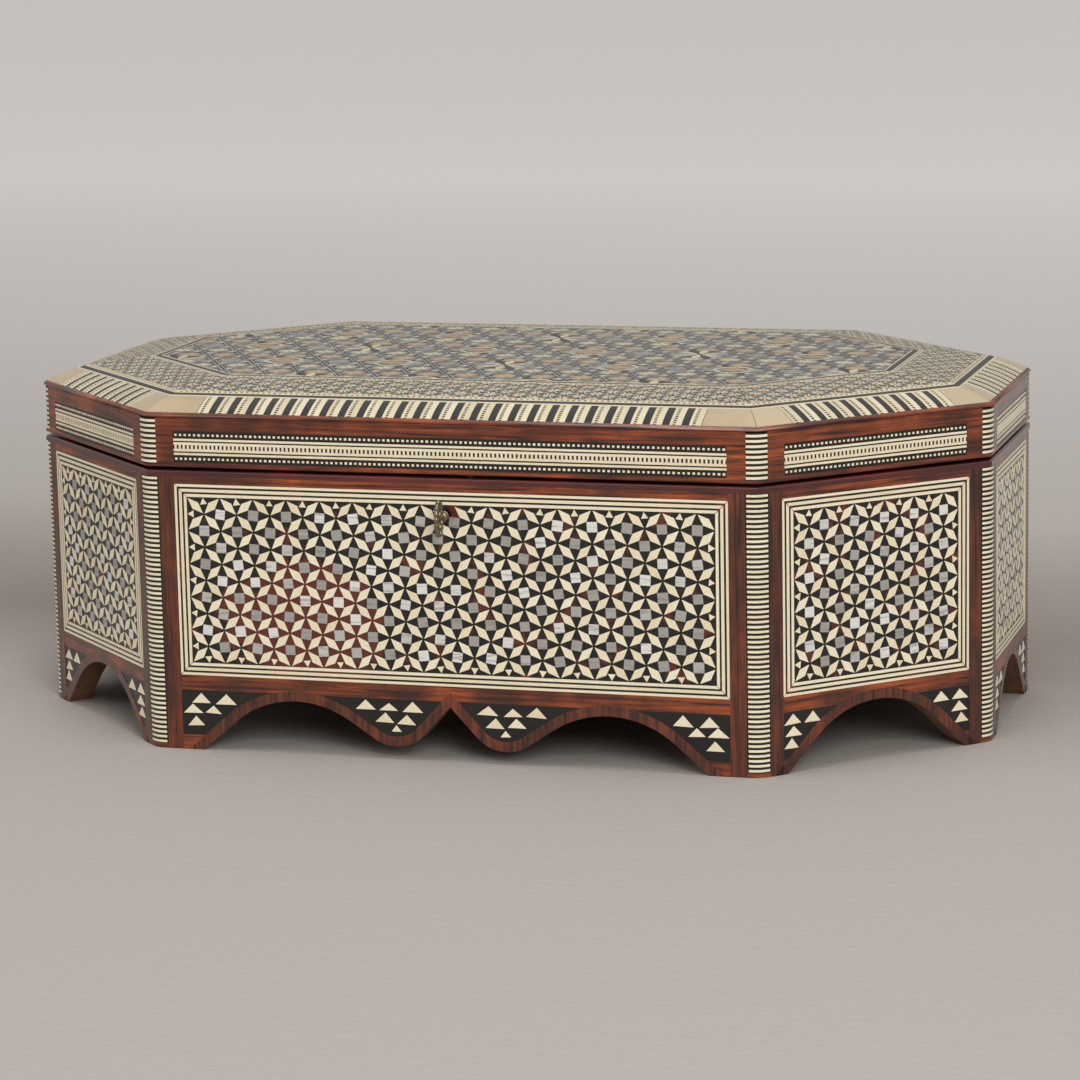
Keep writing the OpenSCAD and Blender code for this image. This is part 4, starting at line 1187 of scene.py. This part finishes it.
# %% Sweep a tube along a path
def tube(path, radii, sides=10, closed=False):
    """A closed mesh round a path of points, with a radius at each of them."""
    made = bmesh.new()
    count = len(path)
    rings = []
    for k, spot in enumerate(path):
        before = path[k - 1] if k or closed else path[k]
        after = path[(k + 1) % count] if k < count - 1 or closed else path[k]
        ahead = (after - before).normalized()
        side = ahead.cross(Vector((1, 0, 0)))
        side = side.normalized() if side.length > 0.1 else ahead.cross(Vector((0, 0, 1))).normalized()
        over = side.cross(ahead)
        rings.append([made.verts.new(spot + radii[k] * (side * math.cos(a) + over * math.sin(a)))
                      for a in [2 * math.pi * n / sides for n in range(sides)]])
    pairs = list(zip(rings, rings[1:])) + ([(rings[-1], rings[0])] if closed else [])
    for first, second in pairs:
        for n in range(sides):
            made.faces.new([first[n], first[(n + 1) % sides], second[(n + 1) % sides], second[n]])
    if not closed:
        made.faces.new(rings[0])
        made.faces.new(rings[-1])
    bmesh.ops.recalc_face_normals(made, faces=made.faces)
    mesh = bpy.data.meshes.new("tube")
    made.to_mesh(mesh)
    made.free()
    mesh.materials.append(key_metal)
    return mesh


# %% Build the key inside the box of its solid
bow_front = key_low.y
bow_middle = bow_front + 4.5 * MM
ring, ring_radii = [], []
for k in range(72):
    angle = 2 * math.pi * k / 72
    ring.append(Vector((0, bow_middle + 3.4 * MM * math.cos(angle),
                        keyhole_z + 6.35 * MM * math.sin(angle))))
    ring_radii.append((0.86 + 0.2 * math.cos(9 * 2 * angle)) * MM)
key_meshes = [tube(ring, ring_radii, closed=True)]
for side in (-1, 1):
    scroll, radii = [], []
    for k in range(30):
        angle = math.radians(-90 + 12 * k)
        reach = (2.1 - 0.045 * k) * MM
        scroll.append(Vector((0, bow_middle + reach * 0.8 * math.cos(angle),
                              keyhole_z + side * (2.7 * MM + reach * math.sin(angle)))))
        radii.append((0.6 - 0.008 * k) * MM)
    key_meshes.append(tube(scroll, radii, sides=8))
SHANK = [(4.4, 0.9), (7.2, 1.0), (7.9, 1.3), (8.2, 2.0), (8.6, 2.2), (9.1, 2.2), (9.5, 1.6), (9.8, 1.5),
         (10.3, 2.1), (10.8, 2.1), (11.1, 1.5), (19.9, 1.5), (20.4, 1.2)]
shank_path = [Vector((0, bow_front + y * MM, keyhole_z)) for y, _ in SHANK]
key_meshes.append(tube(shank_path, [r * MM for _, r in SHANK], sides=20))
bit = bmesh.new()
bmesh.ops.create_cube(bit, size=1.0)
bmesh.ops.bevel(bit, geom=bit.edges[:], offset=0.08, segments=2, affect="EDGES")
bit.transform(Matrix.Translation((0, bow_front + 18.7 * MM, keyhole_z - 1.9 * MM)) @ Matrix.Diagonal(
    (1.2 * MM, 3.2 * MM, 2.2 * MM, 1)))
bit_mesh = bpy.data.meshes.new("bit")
bit.to_mesh(bit_mesh)
bit.free()
bit_mesh.materials.append(key_metal)
piece("cast_key", key_meshes + [bit_mesh], "key", ["key"], smooth=40)

# %% [markdown]
# ## Carcass and lining
# Inside, the carcass is plain softwood, and the compartment is lined with short red velvet.

# %% Softwood and velvet
softwood = rosewood("Sanded_softwood", (14.0, 14.0, 240.0), "#5a3a20", "#8a6238", 0.1)
velvet, tree, shader = new_material("Short_pile_velvet")
place = node(tree, "ShaderNodeTexCoord").outputs["Object"]
pile = node(tree, "ShaderNodeTexNoise", {"Vector": place, "Scale": 2200.0, "Detail": 2.0})
brushed = node(tree, "ShaderNodeTexNoise", {"Vector": place, "Scale": 45.0, "Detail": 3.0})
colour = node(tree, "ShaderNodeMix", {0: brushed.outputs[0], 6: srgb("#4c0d16"), 7: srgb("#7d1a27")},
              data_type="RGBA")
bump = node(tree, "ShaderNodeBump", {"Height": pile.outputs[0], "Strength": 0.7, "Distance": 0.3 * MM})
surface(tree, shader, colour, bump, Roughness=0.9, Sheen_Weight=0.6, Sheen_Roughness=0.4)
refinish([name + "_wall" for name in FACES] + ["bottom_board", "lid_board"], softwood)
refinish(["floor_lining", "wall_lining", "lid_lining"], velvet)

# %% [markdown]
# ## Studio
# One pale sheet of paper with painted shade and light in its colour. It is grey in front. Just behind the box
# a painted shade band stands where a wall would meet the floor in shadow. Far behind it is near white,
# painted light where the lamps fall off, so that the edge of the floor is never seen. Soft light comes from
# in front and a little from above, and the lens is long and looks down on the lid by some ten degrees.

# %% Floor
FLOOR_REACH = 9.0
floor_shape = bmesh.new()
corners = [floor_shape.verts.new((x, y, 0)) for x,
           y in block(-FLOOR_REACH, FLOOR_REACH, -FLOOR_REACH, FLOOR_REACH)]
floor_shape.faces.new(corners)
floor_mesh = bpy.data.meshes.new("floor")
floor_shape.to_mesh(floor_mesh)
floor_shape.free()
paper, tree, shader = new_material("Studio_paper_with_painted_shade_and_light")
place = node(tree, "ShaderNodeTexCoord").outputs["Object"]
tooth = node(tree, "ShaderNodeTexNoise", {"Vector": place, "Scale": 260.0, "Detail": 5.0})
bump = node(tree, "ShaderNodeBump", {"Height": tooth.outputs[0], "Strength": 0.4, "Distance": 1.2 * MM})
apart = node(tree, "ShaderNodeSeparateXYZ", {0: place})
behind = node(tree, "ShaderNodeMapRange", {"Value": apart.outputs["Y"], "From Min": -0.1, "From Max": 2.3})
painted_shade_ramp = node(tree, "ShaderNodeValToRGB", {0: behind.outputs[0]})
# Painted shade and light: the dark stop at 0.1 is a painted shade band behind the box, and the rise to near
# white far behind is painted light.
PAINTED_SHADE_STOPS = [(0.0, "#a8a29d"), (0.04, "#a39b95"), (0.1, "#877d78"), (0.15, "#948b86"), (0.22, "#aca6a2"),
         (0.5, "#cac6c3"), (1.0, "#edebe9")]
for k, (at, shade) in enumerate(PAINTED_SHADE_STOPS):
    stop = painted_shade_ramp.color_ramp.elements[k] if k < 2 else painted_shade_ramp.color_ramp.elements.new(at)
    stop.position = at
    stop.color = srgb(shade)
tree.links.new(painted_shade_ramp.outputs[0], shader.inputs["Base Color"])
tree.links.new(bump.outputs[0], shader.inputs["Normal"])
shader.inputs["Roughness"].default_value = 0.8
floor_mesh.materials.append(paper)
floor = bpy.data.objects.new("floor", floor_mesh)
bpy.context.scene.collection.objects.link(floor)


# %% Lights and camera
def area_light(name, place, aim, size, power, colour):
    data = bpy.data.lights.new(name, "AREA")
    data.size, data.energy, data.color = size, power, srgb(colour)[:3]
    added = bpy.data.objects.new(name, data)
    added.location = place
    added.rotation_euler = (Vector(aim) - Vector(place)).to_track_quat("-Z", "Y").to_euler()
    bpy.context.scene.collection.objects.link(added)


area_light("front_softbox", (1.3, -2.3, 1.5), (0, 0, 0.08), 1.3, 46, "#fffcf8")
area_light("overhead_softbox", (0.1, -0.35, 1.6), (0, 0, 0.1), 0.6, 6, "#ffffff")
area_light("left_fill", (-2.2, -1.2, 1.0), (0, 0, 0.08), 1.0, 7, "#fffcf8")
world = bpy.data.worlds.new("studio")
world.use_nodes = True
sky = world.node_tree
direction = node(sky, "ShaderNodeTexCoord").outputs["Generated"]
up = node(sky, "ShaderNodeSeparateXYZ", {0: direction})
glow = node(sky, "ShaderNodeMapRange", {"Value": up.outputs["Z"], "From Min": 0.0, "From Max": 0.9,
                                        "To Min": 0.26, "To Max": 0.82})
sky.links.new(glow.outputs[0], sky.nodes["Background"].inputs["Strength"])
sky.nodes["Background"].inputs["Color"].default_value = srgb("#fbf9f7")
bpy.context.scene.world = world
bpy.context.scene.view_settings.view_transform = "Standard"

CAMERA = {"x": 434.7, "before": 1346.5, "z": 355.5, "yaw": 16.42, "pitch": 10.71, "roll": -1.16}
lens = bpy.data.cameras.new("camera")
lens.lens, lens.sensor_width = 123.9, 36.0
lens.clip_start, lens.clip_end = 0.05, 30.0
camera = bpy.data.objects.new("camera", lens)
camera.location = (CAMERA["x"] * MM, front_y - CAMERA["before"] * MM, CAMERA["z"] * MM)
yaw, pitch, roll = (math.radians(CAMERA[k]) for k in ("yaw", "pitch", "roll"))
aimed = Matrix.Rotation(yaw, 3, "Z") @ Matrix.Rotation(math.pi / 2 - pitch, 3, "X") @ Matrix.Rotation(roll,
                                                                                                      3, "Z")
camera.rotation_euler = aimed.to_euler()
bpy.context.scene.collection.objects.link(camera)
bpy.context.scene.camera = camera
